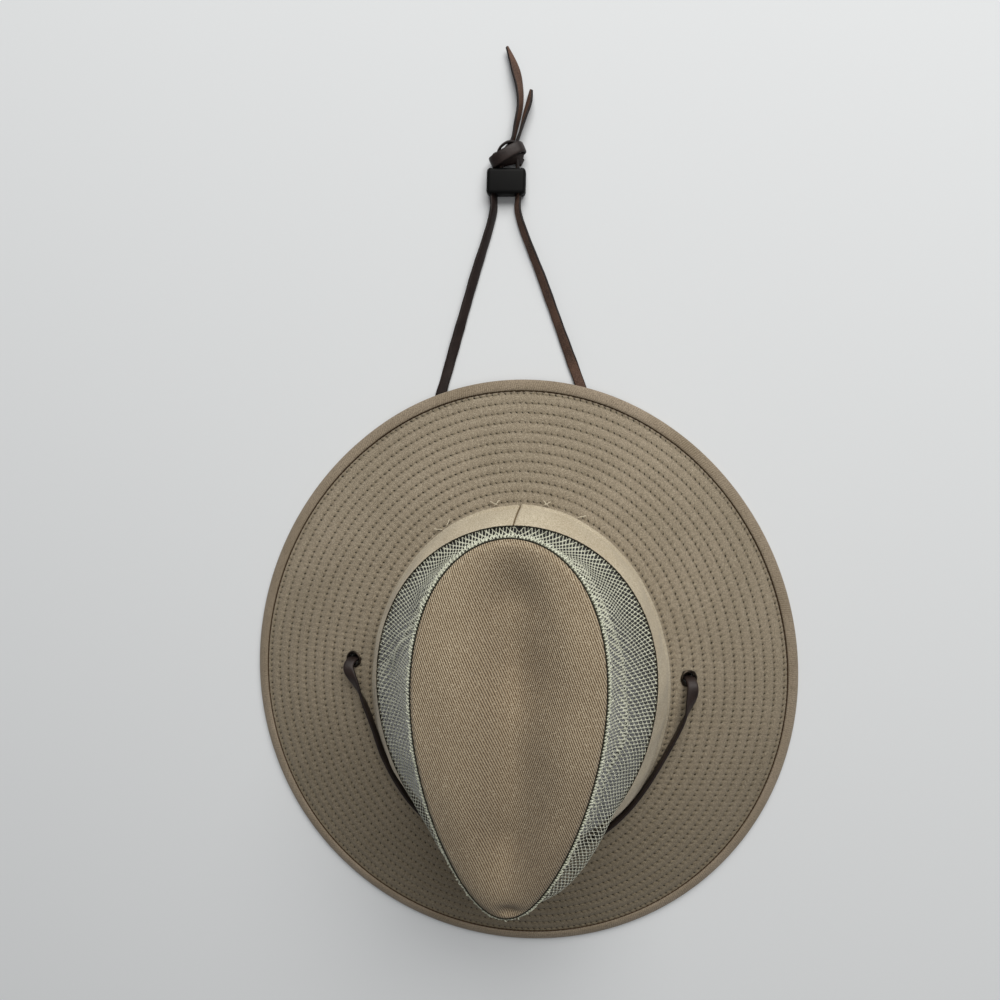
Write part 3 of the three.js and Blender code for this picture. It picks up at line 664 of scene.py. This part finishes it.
# Binding: a strip of the same twill folded over the brim's raw edge and sewn down with one line of
# dark thread along its inner side.
BINDING_STEPS = 720
turns = np.arange(BINDING_STEPS) / BINDING_STEPS * FULL_TURN
edge = brim_point(turns, np.ones(BINDING_STEPS))
inner = brim_point(turns, np.full(BINDING_STEPS, 0.94))
slope = (inner[:, 2] - edge[:, 2]) / np.linalg.norm(inner[:, :2] - edge[:, :2], axis=1)
away = outward(BRIM_EDGE, turns)
lift = edge[:, 2] - 3.1
run = np.concatenate([[0], np.cumsum(np.linalg.norm(np.diff(edge, axis=0), axis=1))])
pucker = 0.1 * np.sin(run / 3.0 * FULL_TURN) + 0.12 * np.sin(run / 9.1 * FULL_TURN) + 0.1 * np.sin(run / 23)
# Each row: how far out from the brim's edge, the height above it, and the share of the pucker.
BINDING_SECTION = [
    (-4.9, 0.25, 0.0), (-5.1, 0.75, 0.6), (-4.6, 1.22, 1.0), (-3.0, 1.5, 0.8), (-1.4, 1.5, 0.5),
    (-0.2, 1.2, 0.2), (0.75, 0.55, 0.0), (1.25, -0.4, 0.0), (1.25, -1.5, 0.0), (0.9, -2.5, 0.0),
    (0.3, -3.02, 0.0), (-1.0, -3.08, 0.0), (-2.8, -2.95, 0.3), (-4.6, -2.7, 0.5), (-4.9, -2.3, 0.0),
    (-3.0, -2.0, 0.0), (-0.1, -1.9, 0.0), (0.3, -0.9, 0.0), (-0.1, 0.2, 0.0), (-3.0, 0.2, 0.0),
]
rings = []
for out, up, share in BINDING_SECTION:
    plan = edge[:, :2] + away * out
    rise = np.maximum(0, -out) * slope if up > -2.9 or out < -2 else 0 * slope
    z = edge[:, 2] + up + rise + share * pucker * 0.5
    if up < -2:
        z = np.maximum(z, lift + 0.02)
    rings.append(np.concatenate([plan, z[:, None]], -1))
rings = np.stack(rings, 1)
corners = len(BINDING_SECTION)
quads = ring_faces(BINDING_STEPS, corners, closed=True)
start = np.repeat(run, corners)[quads]
start = np.where(start < start.max(1, keepdims=True) - 500, run[-1] + 1.43, start)
around = np.tile(np.arange(corners), BINDING_STEPS)[quads] * 1.2
around = np.where(around.max(1, keepdims=True) - around > 15, corners * 1.2, around)
binding = woven("brim_edge_binding", rings.reshape(-1, 3), quads, uv=np.stack([start, around], -1) * 0.01)
# Folded twill: its ribs run aslant across the strip, and handling has made it fuzzy and matt. Its
# map is in units of 100 mm, so a pitch of 0.012 is 1.2 mm.
binding_twill, tree, shader = new_material(
    "folded twill strip", roughness=0.9, specular_ior_level=0.22, sheen_weight=0.12)
place = add_node(tree, "TexCoord").outputs["Object"]
ribs = twill_ribs(tree, add_node(tree, "UVMap", uv_map="cloth"), 18, 0.012, 0.6, 1)
yarn = add_node(tree, "TexNoise", {"Vector": place, "Scale": 1700, "Roughness": 0.6})
patches = add_node(tree, "TexNoise", {"Vector": place, "Scale": 26, "Detail": 3})
cloth = laid_over(tree, "#81735f", "#9a8c7a", patches, 0.3, 0.7)
cloth = laid_over(tree, cloth, "#b3a794", ribs, 0.1, 0.9, 0.35)
cloth = laid_over(tree, cloth, "#5c5040", yarn, 0.45, 0.65, 0.7)
finished(tree, shader, cloth, (ribs, 0.00012, 0.5), (yarn, 0.0003, 0.4))
shown(binding, binding_twill, slot="binding_twill", replaced=["brim_binding"])


def thread_ring(name, centres, swell):
    """A closed six-sided thread that follows a ring of points, with its radius at each."""
    tangent = unit(np.roll(centres, -1, 0) - np.roll(centres, 1, 0))
    side = unit(np.cross(tangent, [0.0, 0.0, 1.0]))
    up = np.cross(side, tangent)
    angle = np.arange(6) / 6 * FULL_TURN
    ring = (
        centres[:, None]
        + side[:, None] * (np.cos(angle)[None, :, None] * swell[:, None, None])
        + up[:, None] * (np.sin(angle)[None, :, None] * swell[:, None, None])
    )
    return woven(name, ring.reshape(-1, 3), ring_faces(len(centres), 6, closed=True))


# The seam thread lies in the corner at the binding's inner edge, thick and dark: it is the dark brown
# thread, and also painted shade of that corner.
seam_steps = 1600
seam_turn = np.arange(seam_steps) / seam_steps * FULL_TURN
seam_edge = brim_point(seam_turn, np.ones(seam_steps))
seam_plan = seam_edge[:, :2] - outward(BRIM_EDGE, seam_turn) * 5.35
seam_z = brim_point(seam_turn, np.full(seam_steps, 0.926))[:, 2] + 0.22
seam_line = np.concatenate([seam_plan, seam_z[:, None]], -1)
seam_run = np.arange(seam_steps) * 0.655
swell = 0.36 + 0.1 * np.cos(seam_run / 2.6 * FULL_TURN)
binding_seam = thread_ring("binding_seam_thread", seam_line, swell)
shown(binding_seam, thread("dark brown topstitch thread", "#4a3520", "#2a1d11"), slot="binding_twill")

# Crown outlines and heights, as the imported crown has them.
BAND_TOP = (76.1, 96.2, 0.4, -1.8, 0.1)
TOP_RIM = (43.3, 95.6, 1.9, 1.3, 0.29)
BAND_TOP_Z = 52
CLOTH = 1.2

# Band: a strip of plain cotton round the foot of the crown, closed by one seam at the back, its
# lower edge turned under where it is sewn to the brim.
BAND_STEPS = 720
BAND_ROWS = 22
turns = np.arange(BAND_STEPS) / BAND_STEPS * FULL_TURN
shares = np.linspace(0, 1, BAND_ROWS)
turn, share = np.meshgrid(turns, shares, indexing="ij")
foot = brim_point(turn, 0 * turn)
top = outline(BAND_TOP, turn)
plan = foot[..., :2] * (1 - share)[..., None] + top * share[..., None]
crumple = 0.5 * np.sin(9 * turn + 2 * share) + 0.3 * np.sin(23 * turn - 3 * share + 1)
crumple = crumple * np.sin(np.pi * share) ** 0.7
# The turned-under foot is a soft roll with a groove above it, and the seam at the back slants.
foot_roll = 0.8 * bell(share - 0.06, 0.05) - 0.45 * bell(share - 0.16, 0.035)
bulge = 0.8 * np.sin(np.pi * share) + crumple + foot_roll
seam_gap = turn_between(turn, 0) + 1.3 + 1.0 * share
seam_cut = 0.4 * bell(seam_gap - 1.2, 0.8) - 0.9 * bell(seam_gap, 0.45)
plan = plan + outward(HEAD, turn) * (bulge + seam_cut)[..., None]
z = foot[..., 2] + 0.3 + (BAND_TOP_Z - 0.3 - foot[..., 2] - 0.3) * share
outer = np.concatenate([plan, z[..., None]], -1)
inner_rows = outer[:, ::3][:, ::-1].copy()
inner_rows[..., :2] -= outward(BAND_TOP, turns)[:, None] * CLOTH
inner_rows[..., 2] += 0.35 * (1 - shares[::3][::-1])
section = np.concatenate([outer, inner_rows], 1)
corners = section.shape[1]
quads = ring_faces(BAND_STEPS, corners, closed=True)[:, ::-1]
band = woven("crown_band_cloth", section.reshape(-1, 3), quads)


def shaded_inside(tree, place, wear_and_shade, unshaded):
    """Cloth whose side towards the middle of the hat is darker: the first colour is painted shade of the
    crown's inside, the second the cloth's own.
    """
    normal = add_node(tree, "NewGeometry").outputs["Normal"]
    facing = add_node(tree, "VectorMath", {0: normal, 1: place}, operation="DOT_PRODUCT").outputs["Value"]
    return laid_over(tree, wear_and_shade, unshaded, facing, -0.004, 0.004)


# Plain cotton: an even, close weave with pale and dark specks of yarn, and hardly any gloss.
band_cotton, tree, shader = new_material(
    "plain cotton, stiffened", roughness=0.88, specular_ior_level=0.25, sheen_weight=0.1)
place = add_node(tree, "TexCoord").outputs["Object"]
weave = add_node(tree, "TexNoise", {"Vector": place, "Scale": 1500, "Roughness": 0.6})
patches = add_node(tree, "TexNoise", {"Vector": place, "Scale": 30, "Detail": 3})
cloth = laid_over(tree, "#b3a68e", "#c4b9a2", patches, 0.3, 0.7)
cloth = laid_over(tree, cloth, "#8b7d66", weave, 0.48, 0.66, 0.6)
cloth = laid_over(tree, cloth, "#dad1bf", weave, 0.45, 0.3, 0.6)
# The band's inner side is painted darker, as shade inside the crown.
finished(tree, shader, shaded_inside(tree, place, "#4a4132", cloth), (weave, 0.0003, 0.5))
shown(band, band_cotton, slot="band_cotton", replaced=["crown_band"])
# The back seam's thread in its groove, and loose thread ends at the foot of the band.
seam_share = np.linspace(0.04, 0.97, 24)
seam_turn = np.radians(-1.3 - 1.0 * seam_share)
seam_foot = brim_point(seam_turn, 0 * seam_turn)
seam_plan = seam_foot[:, :2] * (1 - seam_share)[:, None] + outline(BAND_TOP, seam_turn) * seam_share[:, None]
seam_plan = seam_plan + outward(HEAD, seam_turn) * (0.8 * np.sin(np.pi * seam_share) - 0.15)[:, None]
seam_rise = seam_foot[:, 2] + 0.3 + (BAND_TOP_Z - 0.6 - seam_foot[:, 2]) * seam_share
seam_route = np.concatenate([seam_plan, seam_rise[:, None]], -1)
points, quads, _ = strap_parts(seam_route, np.tile([1.0, 0, 0], (24, 1)), np.full(24, 0.7), thickness=0.7)
back_seam = woven("band_back_seam", points, quads)
shown(back_seam, thread("brown seam thread", "#7b6a50", "#54452f"), slot="band_cotton")
end_points, end_quads, total = [], [], 0
for at, curl in ((-11.5, 1), (-10.2, -1), (7.4, 1), (9.5, -1), (-31, 1), (-33, -1), (21, 1)):
    base = brim_point(np.radians(at), 0.01)
    aside = np.array([np.cos(np.radians(at)), -np.sin(np.radians(at)), 0]) * curl
    out = np.append(outward(HEAD, np.radians(at)), 0)
    rows = [[*(base + out * o + aside * a + [0, 0, u]), 0] for o, a, u in (
        (0.6, 0, 0.9), (1.5, 0.9, 1.4), (2.1, 2.1, 1.3), (2.8, 2.7, 1.1), (3.3, 3.6, 0.9))]
    route = spline(rows, 0.5)[:, :3]
    upright = np.tile([0, 0, 1.0], (len(route), 1))
    points, quads, _ = strap_parts(route, upright, np.full(len(route), 0.4), thickness=0.4)
    end_points.append(points)
    end_quads.append(quads + total)
    total += len(points)
thread_ends = woven("band_thread_ends", np.vstack(end_points), np.vstack(end_quads))
shown(thread_ends, thread("pale loose thread", "#e2d9c4", "#c3b89e"), slot="band_cotton")

# Mesh wall: two panels of knitted polyester net, sewn together at the back and the front. Its
# strands run slantwise in two directions and leave rounded openings of about a millimetre.
WALL_DENTS = [
    (0, 0.1, 48, 0.5, 10), (84, 0.3, 34, 0.42, 1.0), (-86, 0.28, 34, 0.42, 0.5),
    (145, 0.5, 28, 0.5, -8), (-136, 0.45, 20, 0.5, -1.5),
]
# The pale fold in each side: its turn in degrees, its share of the height, and its size.
RIGHT_FOLD = [
    (18, 0.55, 0), (32, 0.69, 0.8), (52, 0.83, 1.0), (65, 0.69, 1.0), (80, 0.6, 1.0),
    (94, 0.57, 1.0), (101, 0.76, 0.8), (122, 0.88, 0.4), (140, 0.92, 0),
]
LEFT_FOLD = [
    (-95, 0.04, 0), (-80, 0.12, 0.7), (-66, 0.61, 1.0), (-51, 0.86, 1.0), (-38, 0.84, 0.8), (-22, 0.5, 0),
]


def rim_height(y):
    front = np.maximum(0, 10 - y) / 105
    back = np.maximum(0, y - 30) / 66
    return 118 - 17 * front**1.8 - 4 * back**2


def fold_at(turn, share):
    """How much of the fold there is at a place, and how far above its crest the place is."""
    degrees = turn_between(turn, 0)
    amount, above = 0 * turn, 0 * turn
    for rows in (RIGHT_FOLD, LEFT_FOLD):
        places, heights, sizes = (np.array(column, float) for column in zip(*rows))
        size = np.interp(degrees, places, sizes, left=0, right=0)
        gap = share - np.interp(degrees, places, heights)
        amount = np.where(size > 0, size, amount)
        above = np.where(size > 0, gap, above)
    return amount, above


def wall_point(turn, share, out=0.0):
    """The outer face of the mesh wall, moved out by some millimetres."""
    foot = outline(BAND_TOP, turn)
    top = outline(TOP_RIM, turn)
    lean = 0.06 * (2 * np.sin(turn) ** 2 - 1) * np.sin(np.pi * np.clip(share, 0, 1))
    reach = (share + lean)[..., None]
    plan = foot * (1 - reach) + top * reach
    inside = np.sin(np.pi * np.clip(share, 0, 1))
    push = 0 * turn
    for at_turn, at_height, half_turn, half_height, depth in WALL_DENTS:
        round_bell = bell(turn_between(turn, at_turn), half_turn)
        push = push + depth * np.sqrt(inside) * round_bell * bell(share - at_height, half_height)
    amount, above = fold_at(turn, share)
    fold = amount * np.sqrt(inside) * (2.6 * bell(above, 0.075) - 2.2 * bell(above + 0.17, 0.11))
    waves = 0.5 * inside * np.sin(11 * turn + 5 * share) + 0.35 * inside * np.sin(19 * turn - 4 * share)
    plan = plan + outward(BAND_TOP, turn) * (fold + waves - push + out)[..., None]
    z = BAND_TOP_Z * (1 - share) + rim_height(top[..., 1]) * share
    z = z + amount * inside * 0.9 * bell(above, 0.08)
    return np.concatenate([plan, z[..., None]], -1)


def net_panel(name, side):
    """One half of the net, from the back seam to the front seam, on one side of the hat."""
    length, height = 246.0, 72.0
    first = np.array([1.46, -0.65])
    second = np.array([-0.75, -1.41])
    reach = 240
    # How the knit is drawn up and slanted by the sewing: turn, slant, and its share of the height.
    slants = (
        [0, 20, 35, 55, 75, 90, 105, 120, 135, 150, 180],
        [0, -0.05, -0.05, 0.06, 0.23, 0.33, 0.4, 0.43, 0.44, 0.38, 0],
    )
    drawn = [0.52, 0.46, 0.38, 0.33, 0.32, 0.32, 0.3, 0.28, 0.3, 0.3, 0.3]
    if side < 0:
        drawn = [0.52, 0.44, 0.34, 0.27, 0.25, 0.23, 0.21, 0.2, 0.22, 0.28, 0.3]

    def on_cloth(flat):
        """Places on the flat knit as a distance from the back seam and a height on the wall."""
        around = flat[..., 0].copy()
        for _ in range(5):
            degrees = np.clip(around, 0, length) / length * 180
            high = flat[..., 1] / np.interp(degrees, slants[0], drawn)
            around = flat[..., 0] - np.interp(degrees, *slants) * high
        return around, high

    i, j = np.meshgrid(np.arange(-reach, reach), np.arange(-reach, reach), indexing="ij")
    around, high = on_cloth(i[..., None] * first + j[..., None] * second)
    inside = (around > 0.2) & (around < length - 0.2) & (high > -0.6) & (high < height - 1.0)
    rows, columns = i[inside], j[inside]
    # Quarter steps: each cell has corners at half steps and edge middles between them.
    offsets = [(-1, -1), (0, -1), (1, -1), (1, 0), (1, 1), (0, 1), (-1, 1), (-1, 0)]
    key = lambda a, b: (a + 2000) * 10000 + (b + 2000)
    ring_keys = np.stack([key(2 * rows + a, 2 * columns + b) for a, b in offsets], -1)
    keys, index = np.unique(ring_keys, return_inverse=True)
    index = index.reshape(ring_keys.shape)
    node_a = keys // 10000 - 2000
    node_b = keys % 10000 - 2000
    shared = node_a[:, None] / 2 * first + node_b[:, None] / 2 * second
    crossing = (node_a % 2 != 0) & (node_b % 2 != 0)
    cell_centre = rows[:, None] * first + columns[:, None] * second
    steps = np.array(offsets) / 2
    span = steps[:, :1] * first + steps[:, 1:] * second
    corner = np.abs(steps).sum(1) > 0.75

    def place_of(flat):
        """The turn and the share of the wall's height of places on the flat knit."""
        around, high = on_cloth(flat)
        return side * np.pi * np.clip(around, 0, length) / length, np.clip(high / height, 0, 1)

    def on_wall(flat, out):
        return wall_point(*place_of(flat), out)

    turn, share = place_of(cell_centre)
    amount, above = fold_at(turn, share)
    size = 0.8 - 0.4 * amount * bell(above, 0.05) - 0.08 * amount * smooth(above, 0.04, 0.12)
    size = size * (1 - 0.12 * (1 - smooth(np.abs(turn_between(turn, 0)), 25, 60)))
    size = size * (1 - 0.2 * smooth(share, 0.93, 1.0))
    rng = np.random.default_rng(7)
    size = size * (1 + 0.06 * rng.standard_normal(len(size)))
    size = np.clip(size, 0.2, 0.86)
    shrink = np.where(corner, 0.84, 1.0)[None, :, None] * size[:, None, None]
    rim = cell_centre[:, None] + span[None] * shrink
    thick = np.where(crossing, 0.13, 0.08)
    outer = on_wall(shared, thick - 0.45)
    inner = on_wall(shared, -thick - 0.45)
    holes = on_wall(rim.reshape(-1, 2), np.full(rim.shape[0] * 8, -0.45))
    points = np.vstack([outer, inner, holes])
    count = len(shared)
    hole = 2 * count + np.arange(len(rows) * 8).reshape(-1, 8)
    after = np.roll(np.arange(8), -1)
    top = np.stack([index, index[:, after], hole[:, after], hole], -1).reshape(-1, 4)
    under = np.stack([index + count, hole, hole[:, after], index[:, after] + count], -1).reshape(-1, 4)
    quads = np.vstack([top, under])
    if side > 0:
        quads = quads[:, ::-1]
    return woven(name, points, quads)


# Knitted polyester: pale grey-green yarn with a soft shine on its strands.
net_yarn, tree, shader = new_material(
    "knitted polyester net", roughness=0.62, specular_ior_level=0.4, sheen_weight=0.15)
place = add_node(tree, "TexCoord").outputs["Object"]
patches = add_node(tree, "TexNoise", {"Vector": place, "Scale": 40, "Detail": 3})
strands = add_node(tree, "TexNoise", {"Vector": place, "Scale": 1300, "Roughness": 0.6})
yarn = laid_over(tree, "#b0b19a", "#c5c6b0", patches, 0.3, 0.7)
yarn = laid_over(tree, yarn, "#e0e0d2", strands, 0.4, 0.7, 0.6)
# The net's inner side is painted dark, as shade inside the crown, so that the openings look dark.
finished(tree, shader, shaded_inside(tree, place, "#3b3c31", yarn), (strands, 0.0003, 0.5))
net_right = net_panel("crown_net_right", 1)
net_left = net_panel("crown_net_left", -1)
for panel in (net_right, net_left):
    shown(panel, net_yarn, slot="mesh_net")
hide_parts("crown_mesh")

# Top: a panel of ribbed cotton twill, domed, with the crown's long crease pinched into it and a
# small dimple at its front tip.
TOP_STEPS = 360
TOP_RINGS = 70


def top_point(turn, reach):
    rim = outline(TOP_RIM, turn)
    plan = np.array([2.0, 8.0]) * (1 - reach)[..., None] + rim * reach[..., None]
    forward = np.clip((35 - plan[..., 1]) / 115, 0, 1)
    rear = smooth(plan[..., 1], 20, 80)
    depth = 21 * (1 - 0.4 * forward) * (1 - 0.36 * rear)
    fade = 1 - smooth(reach, 0.55 + 0.1 * rear, 0.95 + 0.05 * rear)
    axis = 2 + 2.5 * np.sin((plan[..., 1] + 90) / 190 * np.pi)
    crease = depth * bell(plan[..., 0] - axis, 17) * fade
    dome = 5 * (1 - reach**2)
    tip = 3.2 * bell(plan[..., 0] - 4.5, 5.5) * bell(plan[..., 1] + 89.5, 3.6)
    tip = tip * (1 - smooth(reach, 0.97, 1.0))
    slack = 0.35 * np.sin(plan[..., 1] / 9 + plan[..., 0] / 15) * (1 - reach**4)
    edge_roll = -0.9 * smooth(reach, 0.965, 1.0)
    z = rim_height(plan[..., 1]) + 1.5 + dome - crease - tip + slack + edge_roll
    return np.concatenate([plan, z[..., None]], -1)


turns = np.arange(TOP_STEPS) / TOP_STEPS * FULL_TURN
reaches = np.concatenate([np.linspace(0.015, 0.9, TOP_RINGS - 18), np.linspace(0.91, 1.0, 18)])
turn, reach = np.meshgrid(turns, reaches, indexing="ij")
upper = top_point(turn, reach)
lower = top_point(turn, reach)[:, ::-1] - [0, 0, CLOTH]
section = np.concatenate([upper, lower], 1)
corners = section.shape[1]
quads = ring_faces(TOP_STEPS, corners, closed=True)
seam = ((quads % corners) == corners - 1).any(1) & ((quads % corners) == 0).any(1)
quads = quads[~seam]
middle = top_point(np.zeros(1), np.zeros(1))
points = np.vstack([section.reshape(-1, 3), middle, middle - [0, 0, CLOTH]])
hub = len(points) - 2
caps = []
for step in range(0, TOP_STEPS, 2):
    a, b, c = (np.array([step, step + 1, step + 2]) % TOP_STEPS) * corners
    caps.append([hub, a, b, c])
    caps.append([hub + 1, c + corners - 1, b + corners - 1, a + corners - 1])
top = woven("crown_top_cloth", points, np.vstack([quads, np.array(caps)[:, ::-1]]))
# Ribbed cotton twill: pale ribs about a millimetre apart with dark grooves between them, matt and specked,
# and darker towards the front as painted shade.
RIB_PITCH = 0.00102
top_twill, tree, shader = new_material(
    "ribbed cotton twill", roughness=0.9, specular_ior_level=0.22, sheen_weight=0.12)
place = add_node(tree, "TexCoord").outputs["Object"]
ribs = twill_ribs(tree, place, -22.5, RIB_PITCH, 0.5, 1.5)
yarn = add_node(tree, "TexNoise", {"Vector": place, "Scale": 1600, "Detail": 3, "Roughness": 0.75})
patches = add_node(tree, "TexNoise", {"Vector": place, "Scale": 16, "Detail": 3})
lengthways = add_node(tree, "SeparateXYZ", {"Vector": place}).outputs[1]
cloth = laid_over(tree, "#b3a084", "#c3b193", patches, 0.32, 0.68)
cloth = laid_over(tree, "#574737", cloth, ribs, 0.15, 0.8)
cloth = laid_over(tree, cloth, "#dccfb5", yarn, 0.52, 0.66, 0.7)
cloth = laid_over(tree, cloth, "#6a5844", yarn, 0.47, 0.33, 0.5)
# Painted shade: darker towards the front of the top.
cloth = laid_over(tree, cloth, "#4d4031", lengthways, 0.02, -0.1, 0.42)
finished(tree, shader, cloth, (ribs, 0.0004, 0.7), (yarn, 0.0003, 0.35))
shown(top, top_twill, slot="top_twill", replaced=["crown_top"])

# Panel seam: the top's turned edge in a deep dark line, with dense pale overlock stitches on the net below
# it. The dark line is seam thread and also painted shade of the seam's groove.
SEAM_STEPS = 900
turns = np.arange(SEAM_STEPS) / SEAM_STEPS * FULL_TURN
rim = outline(TOP_RIM, turns)
line = np.concatenate([rim + outward(TOP_RIM, turns) * 0.35, (rim_height(rim[:, 1]) + 0.45)[:, None]], -1)
rng = np.random.default_rng(11)
swell = 0.26 + 0.2 * np.abs(np.sin(np.arange(SEAM_STEPS) * 0.9)) * rng.random(SEAM_STEPS)
seam_dark = thread_ring("panel_seam_line", line, swell)
seam_thread_and_shade = thread("dark green-black seam thread", "#2b291f", "#15140e")
shown(seam_dark, seam_thread_and_shade, slot="mesh_net")
# The same thread where the net meets the band: a dark line that is also painted shade of the join.
band_rim = outline(BAND_TOP, turns)
line = np.concatenate([band_rim - outward(BAND_TOP, turns) * 0.4, np.full((SEAM_STEPS, 1), 51.9)], -1)
seam_band = thread_ring("band_seam_line", line, swell + 0.1)
shown(seam_band, seam_thread_and_shade, slot="mesh_net")
overlock = thread("pale overlock thread", "#ecedda", "#b4b8a2", 0.7)


def seam_tape(name, low, high, out):
    """The folded edge of the net that the stitches close, as a thin ring of cloth."""
    rows = np.array([low, (low + high) / 2, high])
    turn, share = np.meshgrid(np.arange(540) / 540 * FULL_TURN, rows, indexing="ij")
    face = wall_point(turn, share, np.array([out - 0.5, out, out - 0.2])[None])
    back = wall_point(turn, share, np.full((1, 3), -0.9))[:, ::-1]
    ring = np.concatenate([face, back], 1)
    return woven(name, ring.reshape(-1, 3), ring_faces(540, 6, closed=True)[:, ::-1])


# The hem under the overlock stitches is darker than the net: painted shade between the stitches.
tape = seam_tape("net_top_hem", 0.962, 0.998, 0.8)
shown(tape, thread("net hem under the stitches", "#70735d", "#454839"), slot="mesh_net")
count = 270
fine = np.linspace(0, FULL_TURN, 1441)
rim_run = np.concatenate([[0], np.cumsum(np.linalg.norm(np.diff(outline(TOP_RIM, fine), axis=0), axis=1))])
centre_turn = np.interp(np.arange(count) / count * rim_run[-1], rim_run, fine)
rim = outline(TOP_RIM, centre_turn)
rim = np.concatenate([rim, rim_height(rim[:, 1])[:, None]], -1)
away = np.concatenate([outward(TOP_RIM, centre_turn), np.zeros((count, 1))], -1)
along = np.cross(away, [0, 0, 1])
places, ways, ups = [], [], []
for lean in (-1, 1):
    drift = lean * 0.8 + 0.3 * rng.standard_normal((count, 1))
    reach = 2.7 + 0.45 * rng.standard_normal((count, 1))
    high = rim + away * 0.8 - along * lean * 0.15 + [0, 0, 0.2]
    low = rim + away * reach + along * drift - [0, 0, 1.5]
    places.append((low + high) / 2)
    ways.append(high - low)
    ups.append(away + [0, 0, 0.8])
places, ways, ups = np.vstack(places), np.vstack(ways), np.vstack(ups)
overlock_shape = stitch_points * [0.95, 1.35, 1.2]
overlock_stitches = copied("panel_overlock_stitches", overlock_shape, stitch_quads, places, ways, ups)
shown(overlock_stitches, overlock, slot="mesh_net")

# Eyelets: rolled brass washers with a dark antique plating, set through the brim for the lace.
eyelet_metal, tree, shader = new_material("antiqued plated brass", roughness=0.38, metallic=1.0)
place = add_node(tree, "TexCoord").outputs["Object"]
tarnish = add_node(tree, "TexNoise", {"Vector": place, "Scale": 420, "Detail": 3, "Roughness": 0.6})
metal = laid_over(tree, "#2b2622", "#5b5146", tarnish, 0.35, 0.7)
finished(tree, shader, metal, (tarnish, 0.0001, 0.4))
for side, name in ((-1, "eyelet_left"), (1, "eyelet_right")):
    point = brim_point(side * EYELET_TURN, EYELET_ACROSS[side]) * MM
    normal = brim_normal(side * EYELET_TURN, EYELET_ACROSS[side])
    bpy.ops.object.select_all(action="DESELECT")
    bpy.ops.mesh.primitive_torus_add(
        major_segments=48, minor_segments=14, major_radius=0.0042, minor_radius=0.0007)
    ring = bpy.context.object
    ring.name = name + "_ring"
    turn_to = Vector((0, 0, 1)).rotation_difference(Vector(normal))
    ring.data.transform(Matrix.Scale(0.85, 4, (0, 0, 1)))
    bpy.ops.mesh.primitive_cylinder_add(
        vertices=48, radius=0.0039, depth=0.0034, end_fill_type="NOTHING", location=(0, 0, -0.0014))
    barrel = bpy.context.object
    bpy.ops.object.transform_apply(location=True, rotation=True, scale=True)
    wall = barrel.modifiers.new("wall", "SOLIDIFY")
    wall.thickness = 0.0004
    bpy.ops.object.modifier_apply(modifier="wall")
    bpy.ops.mesh.primitive_torus_add(
        major_segments=48, minor_segments=10, major_radius=0.0043, minor_radius=0.0006,
        location=(0, 0, -0.0028))
    back = bpy.context.object
    bpy.ops.object.transform_apply(location=True, rotation=True, scale=True)
    bpy.ops.object.select_all(action="DESELECT")
    for part in (ring, barrel, back):
        part.select_set(True)
    bpy.context.view_layer.objects.active = ring
    bpy.ops.object.join()
    ring.data.transform(Matrix.Translation((0, 0, 0.0006)))
    ring.data.transform(Matrix.Translation(Vector(point)) @ turn_to.to_matrix().to_4x4())
    bpy.ops.object.shade_smooth_by_angle(angle=math.radians(50))
    shown(ring, eyelet_metal, slot="eyelet_metal", replaced=[name])

# Floor and light: a plain pale floor under a large soft light from behind and above.
bpy.ops.mesh.primitive_plane_add(size=12, location=(0, 0, 0))
floor = bpy.context.object
floor.name = "floor"
floor_paint, tree, shader = new_material("pale matt board", roughness=0.85, specular_ior_level=0.2)
shader.inputs["Base Color"].default_value = colour("#e4e7ea")
floor.data.materials.append(floor_paint)

world = bpy.data.worlds.new("room")
bpy.context.scene.world = world
world.use_nodes = True
world.node_tree.nodes["Background"].inputs["Color"].default_value = colour("#e6e9ee")
world.node_tree.nodes["Background"].inputs["Strength"].default_value = 0.17


def soft_light(name, place, aim, size, watts, tint):
    data = bpy.data.lights.new(name, "AREA")
    data.shape = "RECTANGLE"
    data.size, data.size_y = size
    data.energy = watts
    data.color = colour(tint)[:3]
    light = bpy.data.objects.new(name, data)
    light.location = place
    light.rotation_euler = (Vector(aim) - Vector(place)).to_track_quat("-Z", "Y").to_euler()
    bpy.context.collection.objects.link(light)


soft_light("window", (0.42, 1.75, 1.62), (0, 0.05, 0), (2.1, 1.5), 62, "#fcfaf6")
soft_light("ceiling", (0.4, -0.4, 2.4), (0, 0, 0), (1.6, 1.6), 5.5, "#fffaf2")

bpy.context.scene.view_settings.view_transform = "Standard"
bpy.context.scene.view_settings.look = "None"
bpy.context.scene.view_settings.exposure = 0.0
